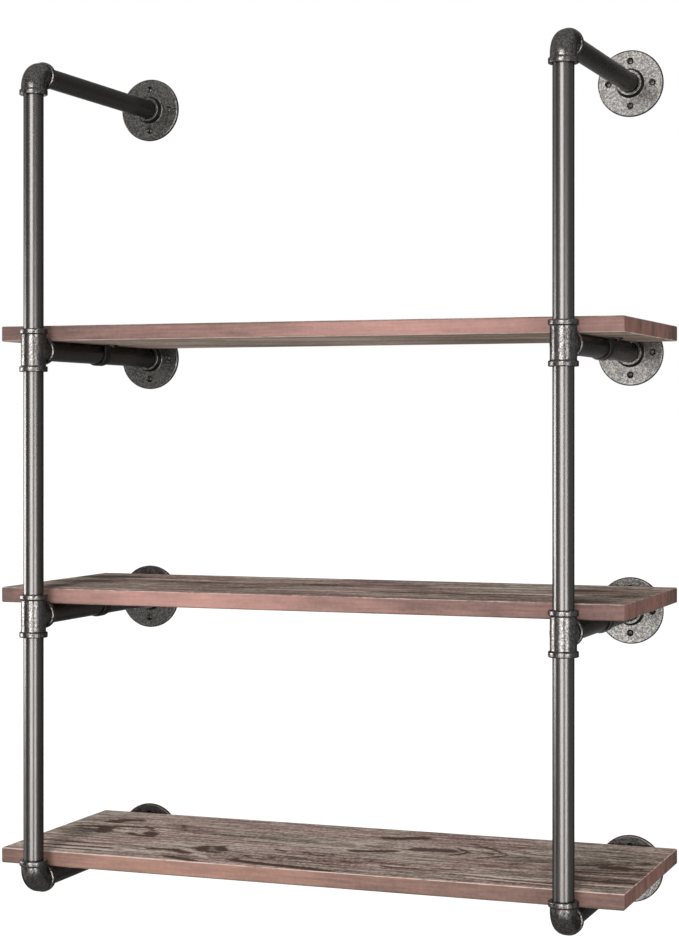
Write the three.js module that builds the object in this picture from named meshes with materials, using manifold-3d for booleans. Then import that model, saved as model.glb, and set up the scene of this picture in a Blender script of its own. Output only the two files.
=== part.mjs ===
// Wall-mounted pipe shelving unit: two columns of threaded steel pipe stand out from the wall on
// flanged arms and carry wooden boards, each board held down to its arms by pipe straps.
// Millimetres, +Z up. The wall is the plane Y = 0 and the unit stands out from it along -Y.
// The origin lies on the wall, midway between the columns, at the height of the lowest arms.
import * as THREE from "three";
import { mergeVertices } from "three/addons/utils/BufferGeometryUtils.js";
import Module from "manifold-3d";

const wasm = await Module();
wasm.setup();

// Whole unit
const COLUMN_SPACING = 725; // between the axes of the two columns
const WALL_TO_COLUMN = 363; // from the wall to the axis of a column
const COLUMN_HEIGHT = 1074; // from the lowest arms to the top arms, axis to axis
const BOARD_STEP = 353; // from one board's arms to the next

// Pipe, three-quarter inch
const PIPE_OD = 26.9;
const PIPE_WALL = 2.6;
const SEAT_GAP = 0.3; // left between any two pieces that touch on the real unit
const ARM_WALL_GAP = 1; // from an arm's end, inside its flange, to the wall

// Elbows and tees
const SOCKET_DEPTH = 10.8;
const SOCKET_WALL = 2.95;
const SOCKET_SHOULDER = 1.75; // step that the end of a pipe meets
const BAND_WIDTH = 7.5; // raised band round each mouth
const BAND_RAISE = 2.2;
const BAND_CHAMFER = 0.8;
const CROTCH_RADIUS = 1.3; // inside of an elbow's bend

// Wall flanges
const FLANGE_PLATE = 5;
const FLANGE_EDGE = 1.6; // rounding of the rim
const HUB_HEIGHT = 10; // above the plate
const HUB_WALL = 4.2;
const HUB_FLARE = 2.4;
const HOLE_STANDOFF = 10.2; // from the foot of the hub to a screw hole's axis
const HOLE_MARGIN = 15; // from a screw hole's axis to the rim
const HOLE_RADIUS = 2.5;
const COUNTERSINK_RADIUS = 4.8;
const FLANGE_HOLES = 4;

// Boards
const BOARD_THICKNESS = 20.5;
const BOARD_OVERHANG = 67.5; // past the axis of each column
const BOARD_FITTING_GAP = 5.7; // from the mouth of a fitting to the board's front edge
const BOARD_HUB_GAP = 1.5; // from the front of a flange's hub to the board's back edge
const BOARD_ARRIS = 1.5;

// Pipe straps and their screws
const STRAP_THICKNESS = 2;
const STRAP_WIDTH = 17;
const EAR_LENGTH = 13.5;
const SHANK_RADIUS = 1.8;
const SCREW_POINT = 3;
const SCREW_COVER = 8.5; // wood left above a screw's point
const HEAD_RADIUS = 3.6;
const HEAD_HEIGHT = 2.4;
const HEAD_CROWN_SHARE = 0.55; // width of the flat on top of the head
const HEAD_EDGE_SHARE = 0.45; // height of the head's straight edge

// Facets and small margins
const ROUND_SEGMENTS = 20;
const SMALL_SEGMENTS = 8;
const BEND_STEPS = 5;
const ARRIS_STEPS = 2;
const CUT_OVERRUN = 1;
const MERGE_DISTANCE = 1e-4;
const QUARTER_TURN = Math.PI / 2;

// Sizes that follow from those above
const PIPE_RADIUS = PIPE_OD / 2;
const SOCKET_RADIUS = PIPE_RADIUS + SEAT_GAP;
const WATERWAY_RADIUS = SOCKET_RADIUS - SOCKET_SHOULDER;
const BODY_RADIUS = SOCKET_RADIUS + SOCKET_WALL;
const BAND_RADIUS = BODY_RADIUS + BAND_RAISE;
const BEND_RADIUS = BODY_RADIUS + CROTCH_RADIUS;
const FITTING_REACH = BEND_RADIUS + SOCKET_DEPTH; // from the crossing of the axes to a mouth
const PIPE_START = FITTING_REACH - SOCKET_DEPTH + SEAT_GAP; // where a pipe starts inside a fitting
const HUB_RADIUS = SOCKET_RADIUS + HUB_WALL;
const HUB_FOOT_RADIUS = HUB_RADIUS + HUB_FLARE;
const HOLE_CIRCLE_RADIUS = HUB_FOOT_RADIUS + HOLE_STANDOFF;
const FLANGE_RADIUS = HOLE_CIRCLE_RADIUS + HOLE_MARGIN;
const FLANGE_HEIGHT = FLANGE_PLATE + HUB_HEIGHT;
const BOARD_LENGTH = COLUMN_SPACING + 2 * BOARD_OVERHANG;
const BOARD_BACK = FLANGE_HEIGHT + BOARD_HUB_GAP; // from the wall to the back edge
const BOARD_FRONT = WALL_TO_COLUMN - FITTING_REACH - BOARD_FITTING_GAP; // to the front edge
const BOARD_UNDERSIDE = PIPE_RADIUS + SEAT_GAP; // above the axis of the arms
const STRAP_INSIDE = PIPE_RADIUS + SEAT_GAP;
const STRAP_OUTSIDE = STRAP_INSIDE + STRAP_THICKNESS;
const STRAP_TO_WALL = (BOARD_BACK + BOARD_FRONT) / 2; // to the middle of the strap
const EAR_TOP = BOARD_UNDERSIDE - SEAT_GAP;
const EAR_BOTTOM = EAR_TOP - STRAP_THICKNESS;
const SCREW_OFFSET = STRAP_OUTSIDE + EAR_LENGTH / 2; // from the arm's axis to a screw's axis
const SCREW_BITE = BOARD_THICKNESS - SCREW_COVER;
const SHANK_LENGTH = STRAP_THICKNESS + 2 * SEAT_GAP + SCREW_BITE;
const SCREW_HOLE_RADIUS = SHANK_RADIUS + SEAT_GAP;

const SIDES = [
  { name: "left", x: -COLUMN_SPACING / 2 },
  { name: "right", x: COLUMN_SPACING / 2 },
];
const LEVELS = [
  { name: "bottom", height: 0, hasBoard: true },
  { name: "middle", height: BOARD_STEP, hasBoard: true },
  { name: "upper", height: 2 * BOARD_STEP, hasBoard: true },
  { name: "top", height: COLUMN_HEIGHT, hasBoard: false },
];

// Satin dark paint on the pipes, a rougher grey on the castings, and weathered wood
const FINISHES = {
  pipe: { color: 0x5a5754, roughness: 0.38, metalness: 0.8 },
  casting: { color: 0x57534f, roughness: 0.5, metalness: 0.75 },
  flange: { color: 0x77736f, roughness: 0.55, metalness: 0.7 },
  strap: { color: 0x34312f, roughness: 0.5, metalness: 0.7 },
  screw: { color: 0x2b2a29, roughness: 0.4, metalness: 0.8 },
  board: { color: 0x8b7468, roughness: 0.7, metalness: 0 },
};

// A closed geometry as a solid that can be joined and cut.
function solidOf(geometry) {
  const bare = geometry.clone();
  bare.deleteAttribute("normal");
  bare.deleteAttribute("uv");
  const merged = mergeVertices(bare, MERGE_DISTANCE);
  return new wasm.Manifold(
    new wasm.Mesh({
      numProp: 3,
      vertProperties: merged.getAttribute("position").array,
      triVerts: new Uint32Array(merged.getIndex().array),
    }),
  );
}

function geometryOf(solid) {
  const mesh = solid.getMesh();
  const geometry = new THREE.BufferGeometry();
  geometry.setAttribute("position", new THREE.BufferAttribute(mesh.vertProperties, mesh.numProp));
  geometry.setIndex(new THREE.BufferAttribute(mesh.triVerts, 1));
  return geometry;
}

// Turns a profile of [radius, height] points about Y. It either ends on the axis or is closed here.
function turned(profile, segments = ROUND_SEGMENTS) {
  const points = profile.map(([radius, height]) => new THREE.Vector2(radius, height));
  if (THREE.ShapeUtils.isClockWise(points)) points.reverse();
  if (points[0].x > 0) points.push(points[0].clone());
  return new THREE.LatheGeometry(points, segments);
}

// The same turned shape with its axis stood upright, heights along +Z.
function turnedUpright(profile, segments) {
  return turned(profile, segments).rotateX(QUARTER_TURN);
}

function mesh(name, geometry, finish) {
  const made = new THREE.Mesh(geometry, new THREE.MeshStandardMaterial(FINISHES[finish]));
  made.name = name;
  return made;
}

function tubeProfile(length) {
  const bore = PIPE_RADIUS - PIPE_WALL;
  return [
    [bore, 0],
    [PIPE_RADIUS, 0],
    [PIPE_RADIUS, length],
    [bore, length],
  ];
}

function uprightPipe(length) {
  return turnedUpright(tubeProfile(length));
}

function armPipe(length) {
  return turned(tubeProfile(length));
}

// Half of a fitting's outside, from its mouth inwards, as [distance from the mouth, radius].
function mouthOutside() {
  return [
    [0, BAND_RADIUS - BAND_CHAMFER],
    [BAND_CHAMFER, BAND_RADIUS],
    [BAND_WIDTH, BAND_RADIUS],
    [BAND_WIDTH, BODY_RADIUS],
  ];
}

// Half of a fitting's inside, from its waterway out to the mouth.
function mouthInside() {
  return [
    [SOCKET_DEPTH, WATERWAY_RADIUS],
    [SOCKET_DEPTH, SOCKET_RADIUS],
    [0, SOCKET_RADIUS],
  ];
}

// The elbow's centre line: down one leg, round the bend and out along the other. `travel` runs
// from the upper mouth. It gives the point there and the direction towards the heel of the bend.
function elbowStation(travel) {
  const bendLength = QUARTER_TURN * BEND_RADIUS;
  const legLength = FITTING_REACH - BEND_RADIUS;
  const intoBend = THREE.MathUtils.clamp(travel - legLength, 0, bendLength);
  const angle = intoBend / BEND_RADIUS;
  const heel = new THREE.Vector3(0, -Math.cos(angle), -Math.sin(angle));
  const point = new THREE.Vector3(0, BEND_RADIUS, BEND_RADIUS).addScaledVector(heel, BEND_RADIUS);
  point.z += Math.max(legLength - travel, 0);
  point.y += Math.max(travel - legLength - bendLength, 0);
  return { point, heel };
}

// All the rings of an elbow as [travel, radius], in a loop that goes out and comes back inside.
function elbowRings() {
  const bendLength = QUARTER_TURN * BEND_RADIUS;
  const total = 2 * (FITTING_REACH - BEND_RADIUS) + bendLength;
  const bendStart = FITTING_REACH - BEND_RADIUS;
  const bend = [];
  for (let step = 0; step <= BEND_STEPS; step += 1) {
    bend.push(bendStart + (bendLength * step) / BEND_STEPS);
  }
  const fromFarMouth = ([distance, radius]) => [total - distance, radius];
  return [
    ...mouthOutside(),
    ...bend.map((travel) => [travel, BODY_RADIUS]),
    ...mouthOutside().map(fromFarMouth).reverse(),
    ...mouthInside().map(fromFarMouth).reverse(),
    ...bend.slice(1, -1).reverse().map((travel) => [travel, WATERWAY_RADIUS]),
    ...mouthInside(),
  ];
}

// An elbow with one mouth up (+Z) and one towards the wall (+Y), about the crossing of its axes.
function elbow() {
  const rings = elbowRings();
  const positions = [];
  const triangles = [];
  rings.forEach(([travel, radius], ring) => {
    const { point, heel } = elbowStation(travel);
    const nextRing = (ring + 1) % rings.length;
    for (let i = 0; i < ROUND_SEGMENTS; i += 1) {
      const angle = (4 * QUARTER_TURN * i) / ROUND_SEGMENTS;
      const vertex = point.clone().addScaledVector(heel, radius * Math.sin(angle));
      vertex.x += radius * Math.cos(angle);
      positions.push(...vertex);
      const j = (i + 1) % ROUND_SEGMENTS;
      const [a, b] = [ring * ROUND_SEGMENTS + i, ring * ROUND_SEGMENTS + j];
      const [c, d] = [nextRing * ROUND_SEGMENTS + i, nextRing * ROUND_SEGMENTS + j];
      triangles.push(a, b, c, b, d, c);
    }
  });
  const geometry = new THREE.BufferGeometry();
  geometry.setAttribute("position", new THREE.Float32BufferAttribute(positions, 3));
  geometry.setIndex(triangles);
  return geometry;
}

// The outside of a tee's straight run, solid, from its lower mouth to its upper one.
function teeRunOutside() {
  const lower = mouthOutside().map(([distance, radius]) => [radius, distance - FITTING_REACH]);
  const upper = lower.map(([radius, height]) => [radius, -height]).reverse();
  return turnedUpright([[0, -FITTING_REACH], ...lower, ...upper, [0, FITTING_REACH]]);
}

function teeBranchOutside() {
  const outside = mouthOutside().map(([distance, radius]) => [radius, FITTING_REACH - distance]);
  return turned([[0, FITTING_REACH], ...outside, [BODY_RADIUS, 0], [0, 0]]);
}

// What is cut from a tee: a waterway from the crossing of the axes, widening to a socket.
function mouthBore() {
  const shoulder = FITTING_REACH - SOCKET_DEPTH;
  return turned([
    [0, 0],
    [WATERWAY_RADIUS, 0],
    [WATERWAY_RADIUS, shoulder],
    [SOCKET_RADIUS, shoulder],
    [SOCKET_RADIUS, FITTING_REACH + CUT_OVERRUN],
    [0, FITTING_REACH + CUT_OVERRUN],
  ]);
}

// A tee with its run upright and its branch towards the wall, about the crossing of its axes.
function tee() {
  const outside = solidOf(teeRunOutside()).add(solidOf(teeBranchOutside()));
  const branchBore = solidOf(mouthBore());
  const upperBore = solidOf(mouthBore().rotateX(QUARTER_TURN));
  const lowerBore = solidOf(mouthBore().rotateX(-QUARTER_TURN));
  return geometryOf(outside.subtract(upperBore.add(lowerBore).add(branchBore)));
}

function flangeBlank() {
  return turned([
    [SOCKET_RADIUS, 0],
    [FLANGE_RADIUS, 0],
    [FLANGE_RADIUS, FLANGE_EDGE - FLANGE_PLATE],
    [FLANGE_RADIUS - FLANGE_EDGE, -FLANGE_PLATE],
    [HUB_FOOT_RADIUS, -FLANGE_PLATE],
    [HUB_RADIUS, -FLANGE_HEIGHT],
    [SOCKET_RADIUS, -FLANGE_HEIGHT],
  ]);
}

// The cutter of one countersunk screw hole, on the axis of the flange.
function flangeHole() {
  const sinkDepth = COUNTERSINK_RADIUS - HOLE_RADIUS;
  const profile = [
    [0, CUT_OVERRUN],
    [HOLE_RADIUS, CUT_OVERRUN],
    [HOLE_RADIUS, sinkDepth - FLANGE_PLATE],
    [COUNTERSINK_RADIUS, -FLANGE_PLATE],
    [COUNTERSINK_RADIUS, -FLANGE_PLATE - CUT_OVERRUN],
    [0, -FLANGE_PLATE - CUT_OVERRUN],
  ];
  return turned(profile, SMALL_SEGMENTS);
}

// A wall flange with its back on the wall and its hub towards the column.
function flange() {
  let solid = solidOf(flangeBlank());
  for (let i = 0; i < FLANGE_HOLES; i += 1) {
    const angle = (4 * QUARTER_TURN * i) / FLANGE_HOLES;
    const x = HOLE_CIRCLE_RADIUS * Math.cos(angle);
    const z = HOLE_CIRCLE_RADIUS * Math.sin(angle);
    solid = solid.subtract(solidOf(flangeHole().translate(x, 0, z)));
  }
  return geometryOf(solid);
}

// A screw hole upwards from a given height, open below.
function screwHole(x, y, top, bottom) {
  const profile = [
    [0, bottom],
    [SCREW_HOLE_RADIUS, bottom],
    [SCREW_HOLE_RADIUS, top],
    [0, top],
  ];
  return solidOf(turnedUpright(profile, SMALL_SEGMENTS).translate(x, y, 0));
}

// The strap's outline across the arm: an ear, down and round under the pipe, and the other ear.
function strapOutline() {
  const tip = STRAP_OUTSIDE + EAR_LENGTH;
  const outline = new THREE.Shape();
  outline.moveTo(-tip, EAR_TOP);
  outline.lineTo(-tip, EAR_BOTTOM);
  outline.lineTo(-STRAP_OUTSIDE, EAR_BOTTOM);
  outline.lineTo(-STRAP_OUTSIDE, 0);
  outline.absarc(0, 0, STRAP_OUTSIDE, 2 * QUARTER_TURN, 4 * QUARTER_TURN, false);
  outline.lineTo(STRAP_OUTSIDE, EAR_BOTTOM);
  outline.lineTo(tip, EAR_BOTTOM);
  outline.lineTo(tip, EAR_TOP);
  outline.lineTo(STRAP_INSIDE, EAR_TOP);
  outline.lineTo(STRAP_INSIDE, 0);
  outline.absarc(0, 0, STRAP_INSIDE, 4 * QUARTER_TURN, 2 * QUARTER_TURN, true);
  outline.lineTo(-STRAP_INSIDE, EAR_TOP);
  return outline;
}

// A bar with round ends that holds all of a strap that has them, seen from above.
function strapBlank() {
  const radius = STRAP_WIDTH / 2;
  const endCentre = STRAP_OUTSIDE + EAR_LENGTH - radius;
  const plan = new THREE.Shape();
  plan.absarc(-endCentre, 0, radius, QUARTER_TURN, 3 * QUARTER_TURN, false);
  plan.absarc(endCentre, 0, radius, -QUARTER_TURN, QUARTER_TURN, false);
  const height = EAR_TOP + STRAP_OUTSIDE + 2 * CUT_OVERRUN;
  const bar = new THREE.ExtrudeGeometry(plan, {
    depth: height,
    bevelEnabled: false,
    curveSegments: SMALL_SEGMENTS,
  });
  return bar.translate(0, 0, -STRAP_OUTSIDE - CUT_OVERRUN);
}

// A strap under an arm that runs along Y, about the arm's axis and the middle of the strap.
function strap() {
  const band = new THREE.ExtrudeGeometry(strapOutline(), {
    depth: STRAP_WIDTH,
    bevelEnabled: false,
    curveSegments: ROUND_SEGMENTS / 2,
  });
  band.translate(0, 0, -STRAP_WIDTH / 2).rotateX(QUARTER_TURN);
  let solid = solidOf(band).intersect(solidOf(strapBlank()));
  for (const x of [-SCREW_OFFSET, SCREW_OFFSET]) {
    solid = solid.subtract(screwHole(x, 0, EAR_TOP + CUT_OVERRUN, EAR_BOTTOM - CUT_OVERRUN));
  }
  return geometryOf(solid);
}

// A pan-head wood screw, point up, about the underside of its head where it meets the ear.
function screw() {
  const profile = [
    [0, -HEAD_HEIGHT],
    [HEAD_RADIUS * HEAD_CROWN_SHARE, -HEAD_HEIGHT],
    [HEAD_RADIUS, -HEAD_HEIGHT * HEAD_EDGE_SHARE],
    [HEAD_RADIUS, 0],
    [SHANK_RADIUS, 0],
    [SHANK_RADIUS, SHANK_LENGTH - SCREW_POINT],
    [0, SHANK_LENGTH],
  ];
  return turnedUpright(profile, SMALL_SEGMENTS);
}

// A board with its arrises eased, its underside at Z = 0 and Y measured from the wall.
function boardBlank() {
  const halfLength = BOARD_LENGTH / 2 - BOARD_ARRIS;
  const outline = new THREE.Shape();
  outline.moveTo(-halfLength, -BOARD_FRONT + BOARD_ARRIS);
  outline.lineTo(halfLength, -BOARD_FRONT + BOARD_ARRIS);
  outline.lineTo(halfLength, -BOARD_BACK - BOARD_ARRIS);
  outline.lineTo(-halfLength, -BOARD_BACK - BOARD_ARRIS);
  const blank = new THREE.ExtrudeGeometry(outline, {
    depth: BOARD_THICKNESS - 2 * BOARD_ARRIS,
    bevelThickness: BOARD_ARRIS,
    bevelSize: BOARD_ARRIS,
    bevelSegments: ARRIS_STEPS,
  });
  return blank.translate(0, 0, BOARD_ARRIS);
}

// The finished board, with a blind pilot hole for each strap screw.
function board() {
  let solid = solidOf(boardBlank());
  for (const side of SIDES) {
    for (const offset of [-SCREW_OFFSET, SCREW_OFFSET]) {
      const hole = screwHole(side.x + offset, -STRAP_TO_WALL, SCREW_BITE + SEAT_GAP, -CUT_OVERRUN);
      solid = solid.subtract(hole);
    }
  }
  return geometryOf(solid);
}

// The strap that holds a board down to one arm, with its two screws.
function strapGroup(prefix) {
  const group = new THREE.Group();
  group.position.y = -STRAP_TO_WALL;
  group.add(mesh(`${prefix}_strap`, strap(), "strap"));
  for (const [end, x] of [["left", -SCREW_OFFSET], ["right", SCREW_OFFSET]]) {
    const fastener = mesh(`${prefix}_strap_screw_${end}`, screw(), "screw");
    fastener.position.set(x, 0, EAR_BOTTOM - SEAT_GAP);
    group.add(fastener);
  }
  return group;
}

// The fitting where an arm leaves a column: an elbow at either end and a tee between.
function fitting(prefix, level) {
  const isBottom = level === LEVELS[0];
  const isTop = level === LEVELS[LEVELS.length - 1];
  const isEnd = isBottom || isTop;
  const made = mesh(`${prefix}_${isEnd ? "elbow" : "tee"}`, isEnd ? elbow() : tee(), "casting");
  made.position.y = -WALL_TO_COLUMN;
  if (isTop) made.rotation.y = 2 * QUARTER_TURN;
  return made;
}

// Everything of one column at one level: its fitting, arm and wall flange, and any strap.
function levelGroup(side, level) {
  const prefix = `${side.name}_${level.name}`;
  const group = new THREE.Group();
  group.position.z = level.height;
  const arm = mesh(`${prefix}_arm`, armPipe(WALL_TO_COLUMN - PIPE_START - ARM_WALL_GAP), "pipe");
  arm.position.y = PIPE_START - WALL_TO_COLUMN;
  group.add(fitting(prefix, level), arm, mesh(`${prefix}_flange`, flange(), "flange"));
  if (level.hasBoard) group.add(strapGroup(prefix));
  return group;
}

// The pipe of a column between one level and the next.
function uprightBetween(side, below, above) {
  const length = above.height - below.height - 2 * PIPE_START;
  const pipe = mesh(`${side.name}_${below.name}_upright`, uprightPipe(length), "pipe");
  pipe.position.set(0, -WALL_TO_COLUMN, below.height + PIPE_START);
  return pipe;
}

function column(side) {
  const group = new THREE.Group();
  group.position.x = side.x;
  LEVELS.forEach((level, i) => {
    group.add(levelGroup(side, level));
    if (i > 0) group.add(uprightBetween(side, LEVELS[i - 1], level));
  });
  return group;
}

function boards() {
  return LEVELS.filter((level) => level.hasBoard).map((level) => {
    const made = mesh(`${level.name}_board`, board(), "board");
    made.position.z = level.height + BOARD_UNDERSIDE;
    return made;
  });
}

const unit = new THREE.Group();
unit.name = "pipe_shelving_unit";
unit.add(...SIDES.map(column), ...boards());

export default unit;
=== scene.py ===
"""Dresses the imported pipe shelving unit: pipes, elbows, tees, wall flanges, straps, screws and boards.

Metres, in the CAD model's frame: the wall is the plane Y = 0, the unit stands out along -Y, +Z is up.
The file is laid out as an add-on and run as a script. Each operator makes one kind of piece.
"""

import math
from functools import partial
from types import SimpleNamespace

import bpy
import numpy as np
from bpy.props import FloatProperty, FloatVectorProperty, IntProperty, PointerProperty
from mathutils import Matrix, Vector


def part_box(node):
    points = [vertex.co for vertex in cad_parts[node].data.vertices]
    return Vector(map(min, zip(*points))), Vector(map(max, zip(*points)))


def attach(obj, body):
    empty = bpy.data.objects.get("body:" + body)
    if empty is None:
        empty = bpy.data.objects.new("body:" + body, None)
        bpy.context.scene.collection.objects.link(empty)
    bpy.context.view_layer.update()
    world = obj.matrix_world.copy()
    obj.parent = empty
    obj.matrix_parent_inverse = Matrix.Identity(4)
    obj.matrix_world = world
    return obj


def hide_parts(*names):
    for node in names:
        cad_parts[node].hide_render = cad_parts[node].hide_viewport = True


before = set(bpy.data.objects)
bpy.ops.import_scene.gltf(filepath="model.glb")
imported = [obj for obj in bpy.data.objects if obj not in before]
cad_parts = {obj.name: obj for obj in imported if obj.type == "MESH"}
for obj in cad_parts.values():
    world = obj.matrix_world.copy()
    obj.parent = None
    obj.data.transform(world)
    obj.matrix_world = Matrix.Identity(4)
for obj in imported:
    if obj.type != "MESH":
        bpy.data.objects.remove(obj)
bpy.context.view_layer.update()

bl_info = {
    "name": "Pipe Shelving Unit",
    "version": (1, 0, 0),
    "blender": (4, 5, 0),
    "location": "View3D > Sidebar > Shelving",
    "description": "Makes the pieces of a wall-mounted pipe shelving unit and the studio round it",
    "category": "Object",
}

MM = 0.001
BODY = "root"
SIDES = ("left", "right")
BOARD_LEVELS = ("bottom", "middle", "upper")
ARM_LEVELS = BOARD_LEVELS + ("top",)


def linear(colour):
    """Turns an sRGB hex colour into the linear RGBA that Blender's sockets take."""
    channels = [int(colour[i:i + 2], 16) / 255 for i in (1, 3, 5)]
    turned = [c / 12.92 if c <= 0.04045 else ((c + 0.055) / 1.055) ** 2.4 for c in channels]
    return (*turned, 1.0)


def per_metre(millimetres):
    """The scale of a pattern whose features are this far apart."""
    return 1 / (millimetres * MM)


def length(name, description, millimetres):
    return FloatProperty(
        name=name, description=description, default=millimetres * MM, min=0.0,
        precision=5, unit="LENGTH", subtype="DISTANCE",
    )


def colour(name, description, value):
    return FloatVectorProperty(
        name=name, description=description, default=linear(value), size=4,
        min=0.0, max=1.0, subtype="COLOR",
    )


def count(name, description, value):
    return IntProperty(name=name, description=description, default=value, min=1)


def amount(name, description, value):
    return FloatProperty(name=name, description=description, default=value, min=0.0)


class PipeSettings(bpy.types.PropertyGroup):
    """Sizes and colour of the steel pipes."""

    wall: length("Wall", "Thickness of a pipe's wall", 2.6)
    end_chamfer: length("End chamfer", "Chamfer on the edges of a pipe's ends", 0.4)
    sides: count("Sides", "Flat sides round a pipe", 96)
    steel: colour("Steel", "What the coated pipe reflects", "#484645")
    steel_worn: colour("Worn steel", "What the pipe reflects where it was handled", "#4b4948")


class FittingSettings(bpy.types.PropertyGroup):
    """Sizes and colour of the cast elbows and tees."""

    band_width: length("Band width", "Length of the raised band at a mouth", 7.5)
    band_raise: length("Band raise", "How far a band stands out from the body", 2.2)
    band_round: length("Band rounding", "Rounding of a band's edges", 1.5)
    socket_depth: length("Socket depth", "How far a pipe goes into a mouth", 10.8)
    socket_gap: length("Socket gap", "Left between a pipe and its socket", 0.3)
    shoulder: length("Shoulder", "Step that the end of a pipe meets", 1.75)
    fillet: length("Fillet", "Rounding where a tee's branch meets its run", 4.0)
    unevenness: length("Unevenness", "Depth of the hollows left by the mould", 0.12)
    mesh_step: length("Mesh step", "Size of the faces of a casting", 0.85)
    iron: colour("Iron", "What the coated casting reflects", "#3b3938")
    iron_pale: colour("Pale iron", "What the casting reflects on its high spots", "#64615f")


class FlangeSettings(bpy.types.PropertyGroup):
    """Sizes and colour of the cast wall flanges."""

    plate: length("Plate", "Thickness of the round plate", 5.0)
    rim_round: length("Rim rounding", "Rounding of the plate's front edge", 1.8)
    hub_wall: length("Hub wall", "Thickness of the hub's wall at its front", 4.2)
    hub_flare: length("Hub flare", "How much wider the hub is at its foot", 1.3)
    hub_round: length("Hub rounding", "Rounding of the hub's front edge", 1.1)
    foot_fillet: length("Foot fillet", "Rounding where the hub meets the plate", 1.3)
    hole_standoff: length("Hole standoff", "From the hub's foot to a hole's axis", 11.3)
    hole_radius: length("Hole radius", "Radius of a screw hole", 2.5)
    sink_radius: length("Countersink radius", "Radius of a screw hole at the front", 4.8)
    holes: count("Holes", "Screw holes round the plate", 4)
    sides: count("Sides", "Flat sides round the plate", 112)
    iron: colour("Iron", "What the coated flange reflects", "#363433")
    iron_pale: colour("Pale iron", "What the flange reflects on its high spots", "#5e5c59")


class StrapSettings(bpy.types.PropertyGroup):
    """Sizes and colour of the pipe straps under the boards."""

    thickness: length("Thickness", "Thickness of the pressed sheet", 2.0)
    bend: length("Bend", "Radius of the bend between an ear and a leg", 2.0)
    edge: length("Edge", "Rounding of the sheet's edges", 0.35)
    steel: colour("Steel", "What the coated strap reflects", "#353331")


class ScrewSettings(bpy.types.PropertyGroup):
    """Sizes and colour of the strap screws."""

    head_radius: length("Head radius", "Radius of the pan head", 3.6)
    head_height: length("Head height", "Height of the pan head", 2.4)
    shank_radius: length("Shank radius", "Radius of the shank", 1.8)
    point: length("Point", "Length of the tapered point", 3.0)
    recess: length("Recess", "Half the length of the cross recess", 2.0)
    recess_slot: length("Recess slot", "Width of the recess's slots", 0.75)
    recess_depth: length("Recess depth", "Depth of the cross recess", 1.3)
    sides: count("Sides", "Flat sides round a screw", 24)
    steel: colour("Steel", "What the blackened screw reflects", "#2f2d2c")


class BoardSettings(bpy.types.PropertyGroup):
    """Sizes and colours of the wooden boards."""

    arris: length("Arris", "Rounding of a board's edges", 1.5)
    arris_wander: length("Arris wander", "How far the worn edges wander", 0.5)
    ring_spacing: length("Ring spacing", "From one growth ring to the next", 9.0)
    smudge_spacing: length("Smudge spacing", "From one broad smudge to the next", 60.0)
    line_spacing: length("Line spacing", "From one long brushed line to the next", 9.5)
    streak_spacing: length("Streak spacing", "From one short brushed streak to the next", 7.0)
    # The pale band along an arris is partly rubbing and partly a painted highlight.
    pale_band: length("Pale band", "Width of the rubbed band along an arris", 1.35)
    mesh_along: length("Mesh along", "Length of a board's faces along the grain", 6.0)
    mesh_across: length("Mesh across", "Width of a board's faces across the grain", 2.4)
    weathered: colour("Weathered wood", "Limed ribs of the brushed face", "#cab9b0")
    brown: colour("Brown wood", "Body of the brushed face", "#8c756d")
    grey: colour("Grey wood", "Greyer stretches of the brushed face", "#877b6f")
    groove: colour("Groove", "Dark grooves of the brushed face", "#453832")
    stain: colour("Stain", "Red-brown knots and worn patches", "#422d27")
    edge_pink: colour("Edge", "Reddish stain on the sawn edges", "#cc9d96")
    edge_tan: colour("Tan edge", "Warmer stretches of the sawn edges", "#c99a86")
    edge_brown: colour("Brown edge", "Browner stretches of the sawn edges", "#75605a")
    # Partly the unlimed wood's own colour, partly painted light: made lighter to stand for light thrown
    # up onto the underside.
    under: colour("Underside", "Unlimed underside of a board", "#9d8e7c")
    end_grain: colour("End grain", "Sawn ends of the boards", "#94695f")
    end_dark: colour("Dark end grain", "Darker patches of the sawn ends", "#4e3e37")
    # Partly rubbed bare wood, partly a painted highlight on the arris.
    edge_pale: colour("Pale arris", "Bare wood where the arris is rubbed", "#dec5bb")


class StageSettings(bpy.types.PropertyGroup):
    """The studio: floor, light and camera."""

    floor_drop: FloatProperty(
        name="Floor drop", description="From the lowest arms down to the floor",
        default=1.6, min=0.0, unit="LENGTH", subtype="DISTANCE",
    )
    ambient: amount("Ambient", "Radiance of the white room on the object", 0.5)
    key: amount("Key", "Strength of the soft lamp in front and above", 2.0)
    front_box: amount("Front softbox", "Radiance of the strip in front", 12.5)
    right_box: amount("Right softbox", "Radiance of the strip on the right", 11.5)
    left_box: amount("Left softbox", "Radiance of the strip on the left", 22.0)
    right_flag: amount("Right flag", "Radiance of the grey flag on the right", 0.58)
    back_flag: amount("Back flag", "Radiance of the grey flag behind", 0.36)
    low_flag: amount("Low flag", "Radiance of the grey flag right below", 0.5)
    low_back_flag: amount("Low back flag", "Radiance of the dark flag low behind", 0.14)
    left_flag: amount("Left flag", "Radiance of the dark flag between the front and left boxes", 0.28)
    low_card: amount("Low card", "Radiance of the pale cards low in front", 4.5)
    black_flag: amount("Black flag", "Radiance of the black flag between the grey ones", 0.16)


def add_node(tree, kind, inputs=(), output=None, **settings):
    """Adds a node with its settings, values and links, and gives one of its outputs.

    The inputs are in the order of the node's own, or else by name or identifier.
    """
    node = tree.nodes.new(kind)
    for key, value in settings.items():
        setattr(node, key, value)
    free = [s for s in node.inputs if s.enabled]
    values = inputs if isinstance(inputs, dict) else {s.identifier: v for s, v in zip(free, inputs)}
    for key, value in values.items():
        socket = next(s for s in free if key in (s.identifier, s.name))
        if isinstance(value, bpy.types.NodeSocket):
            tree.links.new(value, socket)
        else:
            socket.default_value = value
    outputs = [s for s in node.outputs if s.enabled and output in (None, s.name)]
    return outputs[0] if outputs else None


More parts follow.
